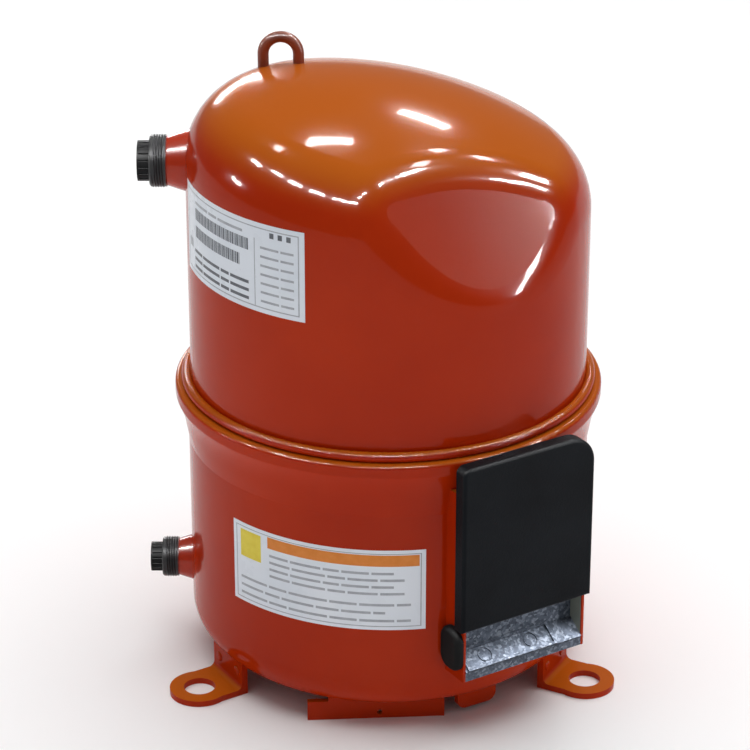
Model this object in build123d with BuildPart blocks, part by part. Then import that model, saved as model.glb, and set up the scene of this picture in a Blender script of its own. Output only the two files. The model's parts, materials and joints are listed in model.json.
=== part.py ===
from build123d import *
import math
import os

# Hermetic scroll compressor in a two-piece welded steel shell.
# Frame: millimetres, +Z up, origin on the axis at the underside of the mounting feet,
# terminal box towards -Y.

os.makedirs("parts", exist_ok=True)

# ---------------------------------------------------------------- driving dimensions
# welded shell
UPPER_R = 125.0            # outer radius of the upper shell
LOWER_R = 127.0            # outer radius of the lower shell
WALL = 4.0                 # shell sheet
FIT_GAP = 0.1              # clearance of the inner pieces against the shell wall
INSIDE_R = LOWER_R - WALL - FIT_GAP
SHELL_GAP = 0.1            # between the upper skirt and the bell mouth it sits in
SKIRT_Z = 166.0            # lower edge of the upper shell, inside the bell mouth
LIP_R = 134.8              # outer radius of the bell-mouth lip
LIP_LOW_Z = 182.0
LIP_TOP_Z = 190.0
LIP_EDGE_R = 2.5
BELL_R = UPPER_R + SHELL_GAP + WALL   # outside of the bell mouth below the lip
BELL_LOW_Z = 152.0
BELL_TOP_Z = 164.0
BOTTOM_Z = 12.0            # outside of the shell floor
BOTTOM_CORNER_R = 25.0     # outside bend between floor and wall

# domed crown of the upper shell
CROWN_Z = 380.5            # crown surface on the axis
CROWN_R = 275.0            # radius of the crown
CROWN_TILT_X = 0.128       # fall of the crown towards +X on the axis
CROWN_TILT_Y = -0.078      # fall of the crown towards +Y on the axis
SHOULDER_R = 44.0          # bend between wall and crown
FACET_AZIMUTH = -90.0      # direction that the sloping front facet faces
FACET_DISTANCE = 84.0      # distance of the facet from the axis ...
FACET_Z = 366.0            # ... measured at this height
FACET_SLOPE = 0.5          # horizontal run of the facet for each unit of height
FACET_BEND_R = 38.0        # bend around the facet

# mounting feet and base brackets
FOOT_AZIMUTHS = {"left": 180.0, "right": 300.0, "rear": 60.0}
FOOT_R = 142.0             # mounting holes lie on this radius
FOOT_HOLE_R = 10.0
EAR_R = 19.0
FOOT_SHEET = 4.0
FOOT_WEB_R = 117.0         # inner face of the upright web
FOOT_WEB_WIDTH = 36.0
FOOT_WEB_TOP = 32.0
RAIL_AZIMUTH = 241.5       # direction that the base rail faces
RAIL_DISTANCE = 107.0      # outer face of the rail from the axis
RAIL_LENGTH = 86.0
RAIL_SHIFT = -14.7         # centre of the rail along its own length
RAIL_HEIGHT = 13.0
RAIL_WEB_TOP = 26.0        # the rail's web is trimmed to the shell below this height
RAIL_FREE_END = 13.0       # length of rail that runs on past its web
RAIL_HOLE_R = 1.8
RAIL_HOLE_X = -12.4        # hole in the rail, along the rail ...
RAIL_HOLE_Z = 4.2          # ... and above its lower edge
SHELF_DEPTH = 34.0         # depth of the sheets welded flat under the shell floor
TAB_AZIMUTH = 268.0
TAB_WIDTH = 28.0
TAB_DISTANCE = 111.0
TAB_LOW_Z = 3.0
TAB_TOP_Z = 24.0           # the tab is trimmed to the shell below this height
TAB_CORNER_R = 6.0

# refrigerant ports, both on one side
PORT_AZIMUTH = 147.5
DISCHARGE_Z = 332.5
SUCTION_Z = 56.7
PORT_TIP_R = 154.0         # outer end of both plugs

# terminal box
BOX_CENTRE_X = 9.5         # the box stands to one side of the terminals
BOX_HALF_WIDTH = 45.0      # outside of the steel housing
BOX_LEFT_X = BOX_CENTRE_X - BOX_HALF_WIDTH
BOX_RIGHT_X = BOX_CENTRE_X + BOX_HALF_WIDTH
BOX_LOW_Z = 44.0
BOX_TOP_Z = 170.0
BOX_FRONT_Y = -142.0       # front edge of the steel housing
BOX_DEPTH = 38.0           # sheet length from the front edge, trimmed to the shell
BOX_SHEET = 1.6
COVER_HALF_WIDTH = 48.0
COVER_LOW_Z = 80.0
COVER_TOP_Z = 191.0
COVER_FRONT_Y = -145.0
COVER_BACK_Y = -136.0
COVER_WALL = 2.0
COVER_GAP = 0.6            # between the cover and the housing's sides
COVER_LEFT_R = 5.0         # top corners of the cover, seen from the front
COVER_RIGHT_R = 18.0
COVER_EDGE_R = 2.2         # rounding around the cover's face
TERMINAL_Z = 128.0         # centre of the glass-sealed terminal plate
TERMINAL_R = 17.0

# scroll set
WRAP_PITCH = 19.0          # radial advance of a wrap in one turn
WRAP_T = 4.0               # wrap thickness
FLANK_GAP = 0.3            # clearance left between the wraps' flanks
ORBIT_R = WRAP_PITCH / 2 - WRAP_T - FLANK_GAP
WRAP_START = 1.25 * math.pi
WRAP_END = 7.1 * math.pi
ORBIT_PLATE_LOW_Z = 237.0
ORBIT_PLATE_TOP_Z = 245.0
ORBIT_PLATE_R = 82.0
WRAP_TOP_Z = 272.0
TIP_GAP = 0.3              # axial clearance at the wrap tips
FIXED_TOP_Z = 288.0
FIXED_R = 107.0
FIXED_CAVITY_R = 77.5      # inner wall of the fixed scroll around the orbiting wrap
DISCHARGE_HOLE_R = 7.0
BOSS_R = 30.0
BOSS_TOP_Z = 300.0

# shaft and bearings
RUNNING_GAP = 0.05         # radial clearance of every journal
LOWER_JOURNAL_R = 12.0
SHAFT_R = 16.0
MAIN_JOURNAL_R = 19.0
PIN_R = 11.5
DRIVE_BUSH_R = 15.0
BUSH_WALL = 2.5
SHAFT_LOW_Z = 40.0
SHAFT_SHOULDER_Z = 66.0
MAIN_JOURNAL_LOW_Z = 167.0
MAIN_JOURNAL_TOP_Z = 205.0
PIN_TOP_Z = 233.0
OIL_BORE_R = 2.5
OIL_BORE_X = 3.0

# motor
STATOR_R = 94.0
STATOR_BORE_R = 48.5
ROTOR_R = 47.9
STACK_LOW_Z = 86.0
STACK_TOP_Z = 152.0
SLOT_COUNT = 24
END_TURN_IN_R = 53.0
END_TURN_OUT_R = 78.0
END_TURN_H = 20.0
STATOR_BOLT_R = 87.0
STATOR_BOLT_ANGLES = (45, 135, 225, 315)
M8_R = 4.0

# main frame
FRAME_R = UPPER_R - WALL - SHELL_GAP
FRAME_LOW_Z = 206.0
HUB_LOW_Z = 171.0
HUB_R = 33.0
THRUST_R = 62.0
THRUST_SHEET = 2.0
OLDHAM_FLOOR_Z = 228.5
FRAME_WALL_R = 88.5        # inner face of the wall that carries the fixed scroll
SCROLL_SEAT_Z = ORBIT_PLATE_TOP_Z + TIP_GAP
SCROLL_BOLT_R = 98.0
SCROLL_BOLT_DEPTH = 18.0   # length of thread in the frame


def polar(radius, azimuth):
    """Point on a circle about the axis, azimuth in degrees."""
    turn = math.radians(azimuth)
    return (radius * math.cos(turn), radius * math.sin(turn))


def outward_plane(azimuth, height, radius=0.0):
    """Plane that faces outwards from the axis, its x direction level."""
    turn = math.radians(azimuth)
    facing = (math.cos(turn), math.sin(turn), 0)
    level = (-math.sin(turn), math.cos(turn), 0)
    x, y = polar(radius, azimuth)
    return Plane(origin=(x, y, height), x_dir=level, z_dir=facing)


# ---------------------------------------------------------------- shell envelopes
def upper_envelope(inset):
    """Solid bounded by the upper shell's outside, moved inwards by inset."""
    crown_up = Vector(CROWN_TILT_X, CROWN_TILT_Y, 1).normalized()
    crown_centre = Vector(0, 0, CROWN_Z) - crown_up * CROWN_R
    facet_lean = math.atan(FACET_SLOPE)
    facet_out = (*polar(math.cos(facet_lean), FACET_AZIMUTH), math.sin(facet_lean))
    facet_plane = Plane(origin=(*polar(FACET_DISTANCE, FACET_AZIMUTH), FACET_Z), z_dir=facet_out)
    with BuildPart() as body:
        with BuildSketch(Plane.XY.offset(SKIRT_Z)):
            Circle(UPPER_R - inset)
        extrude(amount=CROWN_Z)
        with Locations(crown_centre):
            Sphere(CROWN_R - inset, mode=Mode.INTERSECT)
        crown_rim = body.edges().filter_by(lambda edge: edge.center().Z > (SKIRT_Z + CROWN_Z) / 2)
        fillet(crown_rim, SHOULDER_R - inset)
        with BuildSketch(facet_plane.offset(-inset)):
            Rectangle(4 * UPPER_R, 4 * UPPER_R)
        extrude(amount=2 * UPPER_R, mode=Mode.SUBTRACT)
        facet = body.faces().filter_by(GeomType.PLANE).sort_by(Axis.Z)[-1]
        fillet(facet.edges(), FACET_BEND_R - inset)
    return body.part


def lower_envelope():
    """Solid bounded by the outside of the lower shell, lip included."""
    with BuildPart() as body:
        with BuildSketch(Plane.XZ):
            with BuildLine():
                Line((0, BOTTOM_Z), (LOWER_R - BOTTOM_CORNER_R, BOTTOM_Z))
                RadiusArc(
                    (LOWER_R - BOTTOM_CORNER_R, BOTTOM_Z),
                    (LOWER_R, BOTTOM_Z + BOTTOM_CORNER_R),
                    -BOTTOM_CORNER_R,
                )
                Line((LOWER_R, BOTTOM_Z + BOTTOM_CORNER_R), (LOWER_R, BELL_LOW_Z))
                Line((LOWER_R, BELL_LOW_Z), (BELL_R, BELL_TOP_Z))
                TangentArc((BELL_R, BELL_TOP_Z), (LIP_R, LIP_LOW_Z), tangent=(0.15, 1))
                Line((LIP_R, LIP_LOW_Z), (LIP_R, LIP_TOP_Z))
                Line((LIP_R, LIP_TOP_Z), (0, LIP_TOP_Z))
                Line((0, LIP_TOP_Z), (0, BOTTOM_Z))
            make_face()
        revolve(axis=Axis.Z)
        fillet(body.edges().filter_by(GeomType.CIRCLE).sort_by(Axis.Z)[-1], LIP_EDGE_R)
        fillet(
            body.edges().filter_by_position(Axis.Z, LIP_LOW_Z, LIP_LOW_Z).sort_by(SortBy.RADIUS)[-1],
            LIP_EDGE_R,
        )
    return body.part


upper_outside = upper_envelope(0)
lower_outside = lower_envelope()

# ---------------------------------------------------------------- shell pieces
DISCHARGE_NECK_R = 15.0
SUCTION_NECK_R = 12.0
with BuildPart() as upper_shell:
    add(upper_outside)
    add(upper_envelope(WALL), mode=Mode.SUBTRACT)
    with BuildSketch(outward_plane(PORT_AZIMUTH, DISCHARGE_Z)):
        Circle(DISCHARGE_NECK_R)
    extrude(amount=UPPER_R + WALL, mode=Mode.SUBTRACT)
upper_shell.part.label = "upper_shell"
export_step(upper_shell.part, "parts/upper_shell.step")

MOUTH_R = UPPER_R + SHELL_GAP
inner_corner_r = BOTTOM_CORNER_R - WALL
with BuildPart() as lower_shell:
    add(lower_outside)
    with BuildSketch(Plane.XZ):
        with BuildLine():
            floor_end = (LOWER_R - BOTTOM_CORNER_R, BOTTOM_Z + WALL)
            wall_start = (LOWER_R - WALL, BOTTOM_Z + BOTTOM_CORNER_R)
            Line((0, BOTTOM_Z + WALL), floor_end)
            RadiusArc(floor_end, wall_start, -inner_corner_r)
            Line(wall_start, (LOWER_R - WALL, BELL_LOW_Z))
            Line((LOWER_R - WALL, BELL_LOW_Z), (MOUTH_R, BELL_TOP_Z))
            Line((MOUTH_R, BELL_TOP_Z), (MOUTH_R, LIP_TOP_Z + WALL))
            Line((MOUTH_R, LIP_TOP_Z + WALL), (0, LIP_TOP_Z + WALL))
            Line((0, LIP_TOP_Z + WALL), (0, BOTTOM_Z + WALL))
        make_face()
    revolve(axis=Axis.Z, mode=Mode.SUBTRACT)
    with BuildSketch(outward_plane(PORT_AZIMUTH, SUCTION_Z)):
        Circle(SUCTION_NECK_R)
    extrude(amount=LOWER_R + WALL, mode=Mode.SUBTRACT)
    with BuildSketch(outward_plane(-90, TERMINAL_Z)):
        Circle(TERMINAL_R)
    extrude(amount=LOWER_R + WALL, mode=Mode.SUBTRACT)
lower_shell.part.label = "lower_shell"
export_step(lower_shell.part, "parts/lower_shell.step")

# weld bead that closes the joint, lying on the lip against the upper shell
BEAD_WIDTH = 6.5
BEAD_HEIGHT = 6.5
BEAD_CROWN_R = 5.5
with BuildPart() as weld_bead:
    with BuildSketch(Plane.XZ):
        with BuildLine():
            bead_toe = (UPPER_R + BEAD_WIDTH, LIP_TOP_Z)
            bead_head = (UPPER_R, LIP_TOP_Z + BEAD_HEIGHT)
            Line((UPPER_R, LIP_TOP_Z), bead_toe)
            RadiusArc(bead_toe, bead_head, -BEAD_CROWN_R)
            Line(bead_head, (UPPER_R, LIP_TOP_Z))
        make_face()
    revolve(axis=Axis.Z)
weld_bead.part.label = "weld_bead"
export_step(weld_bead.part, "parts/weld_bead.step")

# ---------------------------------------------------------------- feet and base
for side, azimuth in FOOT_AZIMUTHS.items():
    with BuildPart() as foot:
        with BuildSketch(Plane.XY):
            with Locations((FOOT_R, 0)):
                Circle(EAR_R)
            with Locations(((FOOT_WEB_R + FOOT_R) / 2, 0)):
                Rectangle(FOOT_R - FOOT_WEB_R, FOOT_WEB_WIDTH)
            with Locations((FOOT_R, 0)):
                Circle(FOOT_HOLE_R, mode=Mode.SUBTRACT)
        extrude(amount=FOOT_SHEET)
        with BuildSketch(Plane.XY):
            with Locations((FOOT_WEB_R + FOOT_SHEET / 2, 0)):
                Rectangle(FOOT_SHEET, FOOT_WEB_WIDTH)
        extrude(amount=FOOT_WEB_TOP)
        bend = foot.edges().filter_by(Axis.Y).filter_by_position(Axis.Z, FOOT_SHEET, FOOT_SHEET)
        fillet(bend, FOOT_SHEET)
        add(lower_outside, mode=Mode.SUBTRACT)
    turned_foot = foot.part.rotate(Axis.Z, azimuth)
    turned_foot.label = f"foot_{side}"
    export_step(turned_foot, f"parts/foot_{side}.step")

# upright rail under the front of the shell, its web trimmed to the shell's lower bend
web_length = RAIL_LENGTH - RAIL_FREE_END
web_x = RAIL_SHIFT + RAIL_FREE_END / 2
rail_plane = outward_plane(RAIL_AZIMUTH, 0, RAIL_DISTANCE)
with BuildPart() as base_rail:
    with BuildSketch(rail_plane):
        with Locations((RAIL_SHIFT, RAIL_HEIGHT / 2)):
            Rectangle(RAIL_LENGTH, RAIL_HEIGHT)
        with Locations((web_x, RAIL_WEB_TOP / 2)):
            Rectangle(web_length, RAIL_WEB_TOP)
        with Locations((RAIL_HOLE_X, RAIL_HOLE_Z)):
            Circle(RAIL_HOLE_R, mode=Mode.SUBTRACT)
    extrude(amount=-FOOT_SHEET)
    with BuildSketch(rail_plane):
        with Locations((web_x, BOTTOM_Z - FOOT_SHEET / 2)):
            Rectangle(web_length, FOOT_SHEET)
    extrude(amount=-SHELF_DEPTH)
    add(lower_outside, mode=Mode.SUBTRACT)
base_rail.part.label = "base_rail"
export_step(base_rail.part, "parts/base_rail.step")

tab_plane = outward_plane(TAB_AZIMUTH, 0, TAB_DISTANCE)
with BuildPart() as base_tab:
    with BuildSketch(tab_plane):
        with Locations((0, (TAB_LOW_Z + TAB_TOP_Z) / 2)):
            RectangleRounded(TAB_WIDTH, TAB_TOP_Z - TAB_LOW_Z, TAB_CORNER_R)
    extrude(amount=-FOOT_SHEET)
    with BuildSketch(tab_plane):
        with Locations((0, BOTTOM_Z - FOOT_SHEET / 2)):
            Rectangle(TAB_WIDTH - FOOT_SHEET, FOOT_SHEET)
    extrude(amount=-SHELF_DEPTH / 2)
    add(lower_outside, mode=Mode.SUBTRACT)
base_tab.part.label = "base_tab"
export_step(base_tab.part, "parts/base_tab.step")

# ---------------------------------------------------------------- lifting ring
RING_X = -29.7
RING_Y = 78.5
RING_TOP_Z = 399.0
RING_ROD_R = 3.5
RING_BEND_R = 11.0
RING_LEG_Z = 350.0
RING_HEADING = -32.5       # the loop's width runs this way
ring_plane = Plane(
    origin=(RING_X, RING_Y, RING_TOP_Z - RING_ROD_R - RING_BEND_R),
    x_dir=(*polar(1, RING_HEADING), 0),
    z_dir=(*polar(1, RING_HEADING + 90), 0),
)
leg_drop = ring_plane.origin.Z - RING_LEG_Z
with BuildPart() as lifting_ring:
    with BuildLine(ring_plane) as ring_path:
        Line((-RING_BEND_R, leg_drop), (-RING_BEND_R, 0))
        ThreePointArc((-RING_BEND_R, 0), (0, -RING_BEND_R), (RING_BEND_R, 0))
        Line((RING_BEND_R, 0), (RING_BEND_R, leg_drop))
    with BuildSketch(Plane(origin=ring_path.line @ 0, z_dir=ring_path.line % 0)):
        Circle(RING_ROD_R)
    sweep()
    add(upper_outside, mode=Mode.SUBTRACT)
lifting_ring.part.label = "lifting_ring"
export_step(lifting_ring.part, "parts/lifting_ring.step")

# ---------------------------------------------------------------- labels
LABEL_T = 0.2


def wrapped_label(radius, low_z, top_z, first_azimuth, last_azimuth):
    """Thin sheet wrapped on the shell between two azimuths."""
    start_plane = Plane(
        origin=(0, 0, 0),
        x_dir=(*polar(1, first_azimuth), 0),
        z_dir=(*polar(1, first_azimuth - 90), 0),
    )
    with BuildPart() as sheet:
        with BuildSketch(start_plane):
            with Locations((radius + LABEL_T / 2, (low_z + top_z) / 2)):
                Rectangle(LABEL_T, top_z - low_z)
        revolve(axis=Axis.Z, revolution_arc=last_azimuth - first_azimuth)
    return sheet.part


rating_label = wrapped_label(UPPER_R, 275.0, 332.0, 160.5, 214.5)
rating_label.label = "rating_label"
export_step(rating_label, "parts/rating_label.step")

notice_label = wrapped_label(LOWER_R, 74.5, 129.5, 189.0, 248.0)
notice_label.label = "notice_label"
export_step(notice_label, "parts/notice_label.step")

# ---------------------------------------------------------------- refrigerant ports
DISCHARGE_THREAD_R = 15.9
DISCHARGE_BORE_R = 9.5
DISCHARGE_BOSS_R = 20.0
SUCTION_THREAD_R = 12.7
SUCTION_BORE_R = 7.5
SUCTION_BOSS_R = 16.0
THREAD_START_R = 136.0
THREAD_END_R = 146.5
THREAD_CHAMFER = 0.8
PLUG_GAP = 0.4             # radial clearance of a plug's stem in the bore
PLUG_STEM = 10.0
PLUG_STEM_WALL = 2.0
PLUG_END = 1.0             # closed end of the stem, and the head's plain rim
PLUG_GROOVES = 18          # finger grooves around the head
PLUG_GROOVE_R = 0.7
DISCHARGE_HEAD_R = 12.5
SUCTION_HEAD_R = 9.5


def port_stub(envelope, shell_r, height, neck_r, boss_r, thread_r, bore_r):
    """Steel stub: flared boss on the shell, neck through the wall, threaded end, bore."""
    with BuildPart() as stub:
        with BuildSketch(outward_plane(PORT_AZIMUTH, height, shell_r - WALL)):
            Circle(boss_r)
        with BuildSketch(outward_plane(PORT_AZIMUTH, height, THREAD_START_R)):
            Circle(thread_r - THREAD_CHAMFER)
        loft()
        add(envelope, mode=Mode.SUBTRACT)
        with BuildSketch(outward_plane(PORT_AZIMUTH, height, shell_r - 2 * WALL)):
            Circle(neck_r)
        extrude(amount=THREAD_START_R - shell_r + 2 * WALL)
        with BuildSketch(outward_plane(PORT_AZIMUTH, height, THREAD_START_R)):
            Circle(thread_r)
        extrude(amount=THREAD_END_R - THREAD_START_R)
        rim = stub.faces().sort_by(outward_axis)[-1].edges()
        chamfer(rim, THREAD_CHAMFER)
        with BuildSketch(outward_plane(PORT_AZIMUTH, height)):
            Circle(bore_r)
        extrude(amount=PORT_TIP_R, mode=Mode.SUBTRACT)
    return stub.part


def port_plug(height, head_r, bore_r):
    """Moulded transport plug: ribbed head outside the stub, hollow stem in its bore."""
    stem_r = bore_r - PLUG_GAP
    with BuildPart() as plug:
        with BuildSketch(outward_plane(PORT_AZIMUTH, height, THREAD_END_R)):
            Circle(head_r)
        extrude(amount=PORT_TIP_R - THREAD_END_R)
        with BuildSketch(outward_plane(PORT_AZIMUTH, height, THREAD_END_R)):
            with PolarLocations(head_r, PLUG_GROOVES):
                Circle(PLUG_GROOVE_R)
        extrude(amount=PORT_TIP_R - THREAD_END_R - PLUG_END, mode=Mode.SUBTRACT)
        with BuildSketch(outward_plane(PORT_AZIMUTH, height, THREAD_END_R - PLUG_STEM)):
            Circle(stem_r)
        extrude(amount=PLUG_STEM)
        with BuildSketch(outward_plane(PORT_AZIMUTH, height, THREAD_END_R - PLUG_STEM)):
            Circle(stem_r - PLUG_STEM_WALL)
        extrude(amount=PLUG_STEM - PLUG_END, mode=Mode.SUBTRACT)
    return plug.part


outward_axis = Axis((0, 0, 0), (*polar(1, PORT_AZIMUTH), 0))
discharge_stub = port_stub(
    upper_outside, UPPER_R, DISCHARGE_Z, DISCHARGE_NECK_R, DISCHARGE_BOSS_R,
    DISCHARGE_THREAD_R, DISCHARGE_BORE_R,
)
discharge_stub.label = "discharge_stub"
export_step(discharge_stub, "parts/discharge_stub.step")

suction_stub = port_stub(
    lower_outside, LOWER_R, SUCTION_Z, SUCTION_NECK_R, SUCTION_BOSS_R,
    SUCTION_THREAD_R, SUCTION_BORE_R,
)
suction_stub.label = "suction_stub"
export_step(suction_stub, "parts/suction_stub.step")

discharge_plug = port_plug(DISCHARGE_Z, DISCHARGE_HEAD_R, DISCHARGE_BORE_R)
discharge_plug.label = "discharge_plug"
export_step(discharge_plug, "parts/discharge_plug.step")

suction_plug = port_plug(SUCTION_Z, SUCTION_HEAD_R, SUCTION_BORE_R)
suction_plug.label = "suction_plug"
export_step(suction_plug, "parts/suction_plug.step")

# bent sheet inside the shell that turns the suction gas up towards the motor
BAFFLE_R = 108.0
BAFFLE_WIDTH = 36.0
BAFFLE_LOW_Z = SUCTION_Z - 16
BAFFLE_TOP_Z = SUCTION_Z + 24
BAFFLE_SHEET = 1.5
with BuildPart() as suction_baffle:
    with BuildSketch(outward_plane(PORT_AZIMUTH, (BAFFLE_LOW_Z + BAFFLE_TOP_Z) / 2, BAFFLE_R)):
        Rectangle(BAFFLE_WIDTH, BAFFLE_TOP_Z - BAFFLE_LOW_Z)
    extrude(amount=BAFFLE_SHEET)
    with BuildSketch(outward_plane(PORT_AZIMUTH, BAFFLE_LOW_Z + BAFFLE_SHEET / 2, BAFFLE_R)):
        Rectangle(BAFFLE_WIDTH, BAFFLE_SHEET)
    extrude(amount=LOWER_R)
    with BuildSketch(Plane.XY):
        Circle(INSIDE_R)
    extrude(amount=LIP_TOP_Z, mode=Mode.INTERSECT)
suction_baffle.part.label = "suction_baffle"
export_step(suction_baffle.part, "parts/suction_baffle.step")

# ---------------------------------------------------------------- terminal box
# steel housing: two sides and a top, open in front and below
with BuildPart() as terminal_housing:
    with BuildSketch(Plane.XZ.offset(-BOX_FRONT_Y)):
        with Locations((BOX_CENTRE_X, (BOX_LOW_Z + BOX_TOP_Z) / 2)):
            Rectangle(2 * BOX_HALF_WIDTH, BOX_TOP_Z - BOX_LOW_Z)
        with Locations((BOX_CENTRE_X, (BOX_LOW_Z + BOX_TOP_Z) / 2 - BOX_SHEET)):
            Rectangle(2 * (BOX_HALF_WIDTH - BOX_SHEET), BOX_TOP_Z - BOX_LOW_Z, mode=Mode.SUBTRACT)
    extrude(amount=-BOX_DEPTH)
    add(lower_outside, mode=Mode.SUBTRACT)
terminal_housing.part.label = "terminal_housing"
export_step(terminal_housing.part, "parts/terminal_housing.step")

# sloping galvanised plate that closes the box underneath: back flange, raised rim, front lip
PLATE_BACK = (-128.7, 58.5)   # y and z of the underside at the plate's upper back edge
PLATE_FRONT = (-141.8, 49.5)
PLATE_SHEET = 1.5
PLATE_LIP_LOW_Z = 44.0
PLATE_FLANGE_TOP_Z = 84.0
PLATE_GAP = 0.1               # to the housing's sides
RIM_X = 1.0                   # centre of the raised rim, and its size along the plate
RIM_LENGTH = 66.0
RIM_WIDTH = 1.6
RIM_HEIGHT = 1.4
KNOCKOUT_R = 5.0
KNOCKOUT_GROOVE = 0.8
KNOCKOUT_X = (-16.0, 18.0)
plate_half = BOX_HALF_WIDTH - BOX_SHEET - PLATE_GAP
slope_length = math.dist(PLATE_BACK, PLATE_FRONT)
slope_angle = math.atan2(PLATE_BACK[1] - PLATE_FRONT[1], PLATE_BACK[0] - PLATE_FRONT[0])
plate_plane = Plane(
    origin=(0, (PLATE_BACK[0] + PLATE_FRONT[0]) / 2, (PLATE_BACK[1] + PLATE_FRONT[1]) / 2),
    x_dir=(1, 0, 0), z_dir=(0, -math.sin(slope_angle), math.cos(slope_angle)),
)
with BuildPart() as conduit_plate:
    with BuildSketch(plate_plane):
        with Locations((BOX_CENTRE_X, 0)):
            Rectangle(2 * plate_half, slope_length)
    extrude(amount=PLATE_SHEET)
    with BuildSketch(plate_plane.offset(PLATE_SHEET)):
        with Locations((RIM_X, 0)):
            Rectangle(RIM_LENGTH, slope_length)
            Rectangle(RIM_LENGTH - 2 * RIM_WIDTH, slope_length - 2 * RIM_WIDTH, mode=Mode.SUBTRACT)
    extrude(amount=RIM_HEIGHT)
    for edge_y, low_z, top_z in (
        (PLATE_BACK[0], PLATE_BACK[1], PLATE_FLANGE_TOP_Z),
        (PLATE_FRONT[0] + PLATE_SHEET, PLATE_LIP_LOW_Z, PLATE_FRONT[1] + PLATE_SHEET),
    ):
        with BuildSketch(Plane.XZ.offset(-edge_y)):
            with Locations((BOX_CENTRE_X, (low_z + top_z) / 2)):
                Rectangle(2 * plate_half, top_z - low_z)
        extrude(amount=PLATE_SHEET)
    with BuildSketch(plate_plane.offset(PLATE_SHEET)):
        with Locations(*[(x, 0) for x in KNOCKOUT_X]):
            Circle(KNOCKOUT_R)
            Circle(KNOCKOUT_R - KNOCKOUT_GROOVE, mode=Mode.SUBTRACT)
    extrude(amount=-PLATE_SHEET / 2, mode=Mode.SUBTRACT)
    add(lower_outside, mode=Mode.SUBTRACT)
conduit_plate.part.label = "conduit_plate"
export_step(conduit_plate.part, "parts/conduit_plate.step")

# moulded cover, open at the back and below, the right top corner widely rounded
with BuildPart() as terminal_cover:
    with BuildSketch(Plane.XZ.offset(-COVER_BACK_Y)):
        with Locations((BOX_CENTRE_X, (COVER_LOW_Z + COVER_TOP_Z) / 2)):
            Rectangle(2 * COVER_HALF_WIDTH, COVER_TOP_Z - COVER_LOW_Z)
    extrude(amount=COVER_BACK_Y - COVER_FRONT_Y)
    top_corners = terminal_cover.edges().filter_by(Axis.Y).group_by(Axis.Z)[-1]
    fillet(top_corners.sort_by(Axis.X)[0], COVER_LEFT_R)
    right_corners = terminal_cover.edges().filter_by(Axis.Y).group_by(Axis.X)[-1]
    fillet(right_corners.sort_by(Axis.Z)[-1], COVER_RIGHT_R)
    fillet(terminal_cover.faces().sort_by(Axis.Y)[0].edges(), COVER_EDGE_R)
    with BuildSketch(Plane.XZ.offset(-COVER_BACK_Y)) as pocket:
        with Locations((BOX_CENTRE_X, (COVER_LOW_Z + COVER_TOP_Z) / 2 - COVER_WALL)):
            Rectangle(2 * (BOX_HALF_WIDTH + COVER_GAP), COVER_TOP_Z - COVER_LOW_Z)
        pocket_top = pocket.vertices().group_by(Axis.Y)[-1].sort_by(Axis.X)
        fillet(pocket_top[-1], COVER_RIGHT_R - COVER_WALL)
    extrude(amount=COVER_BACK_Y - COVER_FRONT_Y - COVER_WALL, mode=Mode.SUBTRACT)
terminal_cover.part.label = "terminal_cover"
export_step(terminal_cover.part, "parts/terminal_cover.step")

GASKET_WIDTH = 6.0
GASKET_GAP = 0.2           # between the gasket and the cover's inside
gasket_front_y = COVER_FRONT_Y + COVER_WALL + GASKET_GAP
gasket_height = BOX_TOP_Z - COVER_LOW_Z
with BuildPart() as cover_gasket:
    with BuildSketch(Plane.XZ.offset(-BOX_FRONT_Y)):
        with Locations((BOX_CENTRE_X, (COVER_LOW_Z + BOX_TOP_Z) / 2)):
            Rectangle(2 * BOX_HALF_WIDTH, gasket_height)
            Rectangle(
                2 * (BOX_HALF_WIDTH - GASKET_WIDTH), gasket_height - 2 * GASKET_WIDTH,
                mode=Mode.SUBTRACT,
            )
    extrude(amount=BOX_FRONT_Y - gasket_front_y)
cover_gasket.part.label = "cover_gasket"
export_step(cover_gasket.part, "parts/cover_gasket.step")

# rubber boot where the supply cable enters, on the lower left of the box
BOOT_T = 5.0
BOOT_LOW_Z = 50.0
BOOT_TOP_Z = COVER_LOW_Z - 1
BOOT_BACK_Y = -121.5
BOOT_CORNER_R = 9.0
BOOT_EDGE_R = 3.5
with BuildPart() as cable_boot:
    with BuildSketch(Plane.YZ.offset(BOX_LEFT_X)):
        with Locations(((BOOT_BACK_Y + BOX_FRONT_Y) / 2, (BOOT_LOW_Z + BOOT_TOP_Z) / 2)):
            RectangleRounded(BOOT_BACK_Y - BOX_FRONT_Y, BOOT_TOP_Z - BOOT_LOW_Z, BOOT_CORNER_R)
    extrude(amount=-BOOT_T)
    fillet(cable_boot.faces().sort_by(Axis.X)[0].edges(), BOOT_EDGE_R)
    add(lower_outside, mode=Mode.SUBTRACT)
cable_boot.part.label = "cable_boot"
export_step(cable_boot.part, "parts/cable_boot.step")

# earth screw on the inside of the housing's right wall
GROUND_SCREW_Y = -133.0
GROUND_SCREW_Z = 88.0
GROUND_HEAD_R = 4.0
GROUND_HEAD_H = 3.0
GROUND_SHANK_R = 2.0
GROUND_SHANK_L = 5.0
wall_inside_x = BOX_RIGHT_X - BOX_SHEET
with BuildPart() as ground_screw:
    with BuildSketch(Plane.YZ.offset(wall_inside_x - GROUND_HEAD_H)):
        with Locations((GROUND_SCREW_Y, GROUND_SCREW_Z)):
            RegularPolygon(GROUND_HEAD_R, 6)
    extrude(amount=GROUND_HEAD_H)
    with BuildSketch(Plane.YZ.offset(wall_inside_x - GROUND_HEAD_H - GROUND_SHANK_L)):
        with Locations((GROUND_SCREW_Y, GROUND_SCREW_Z)):
            Circle(GROUND_SHANK_R)
    extrude(amount=GROUND_SHANK_L)
ground_screw.part.label = "ground_screw"
export_step(ground_screw.part, "parts/ground_screw.step")

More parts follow.
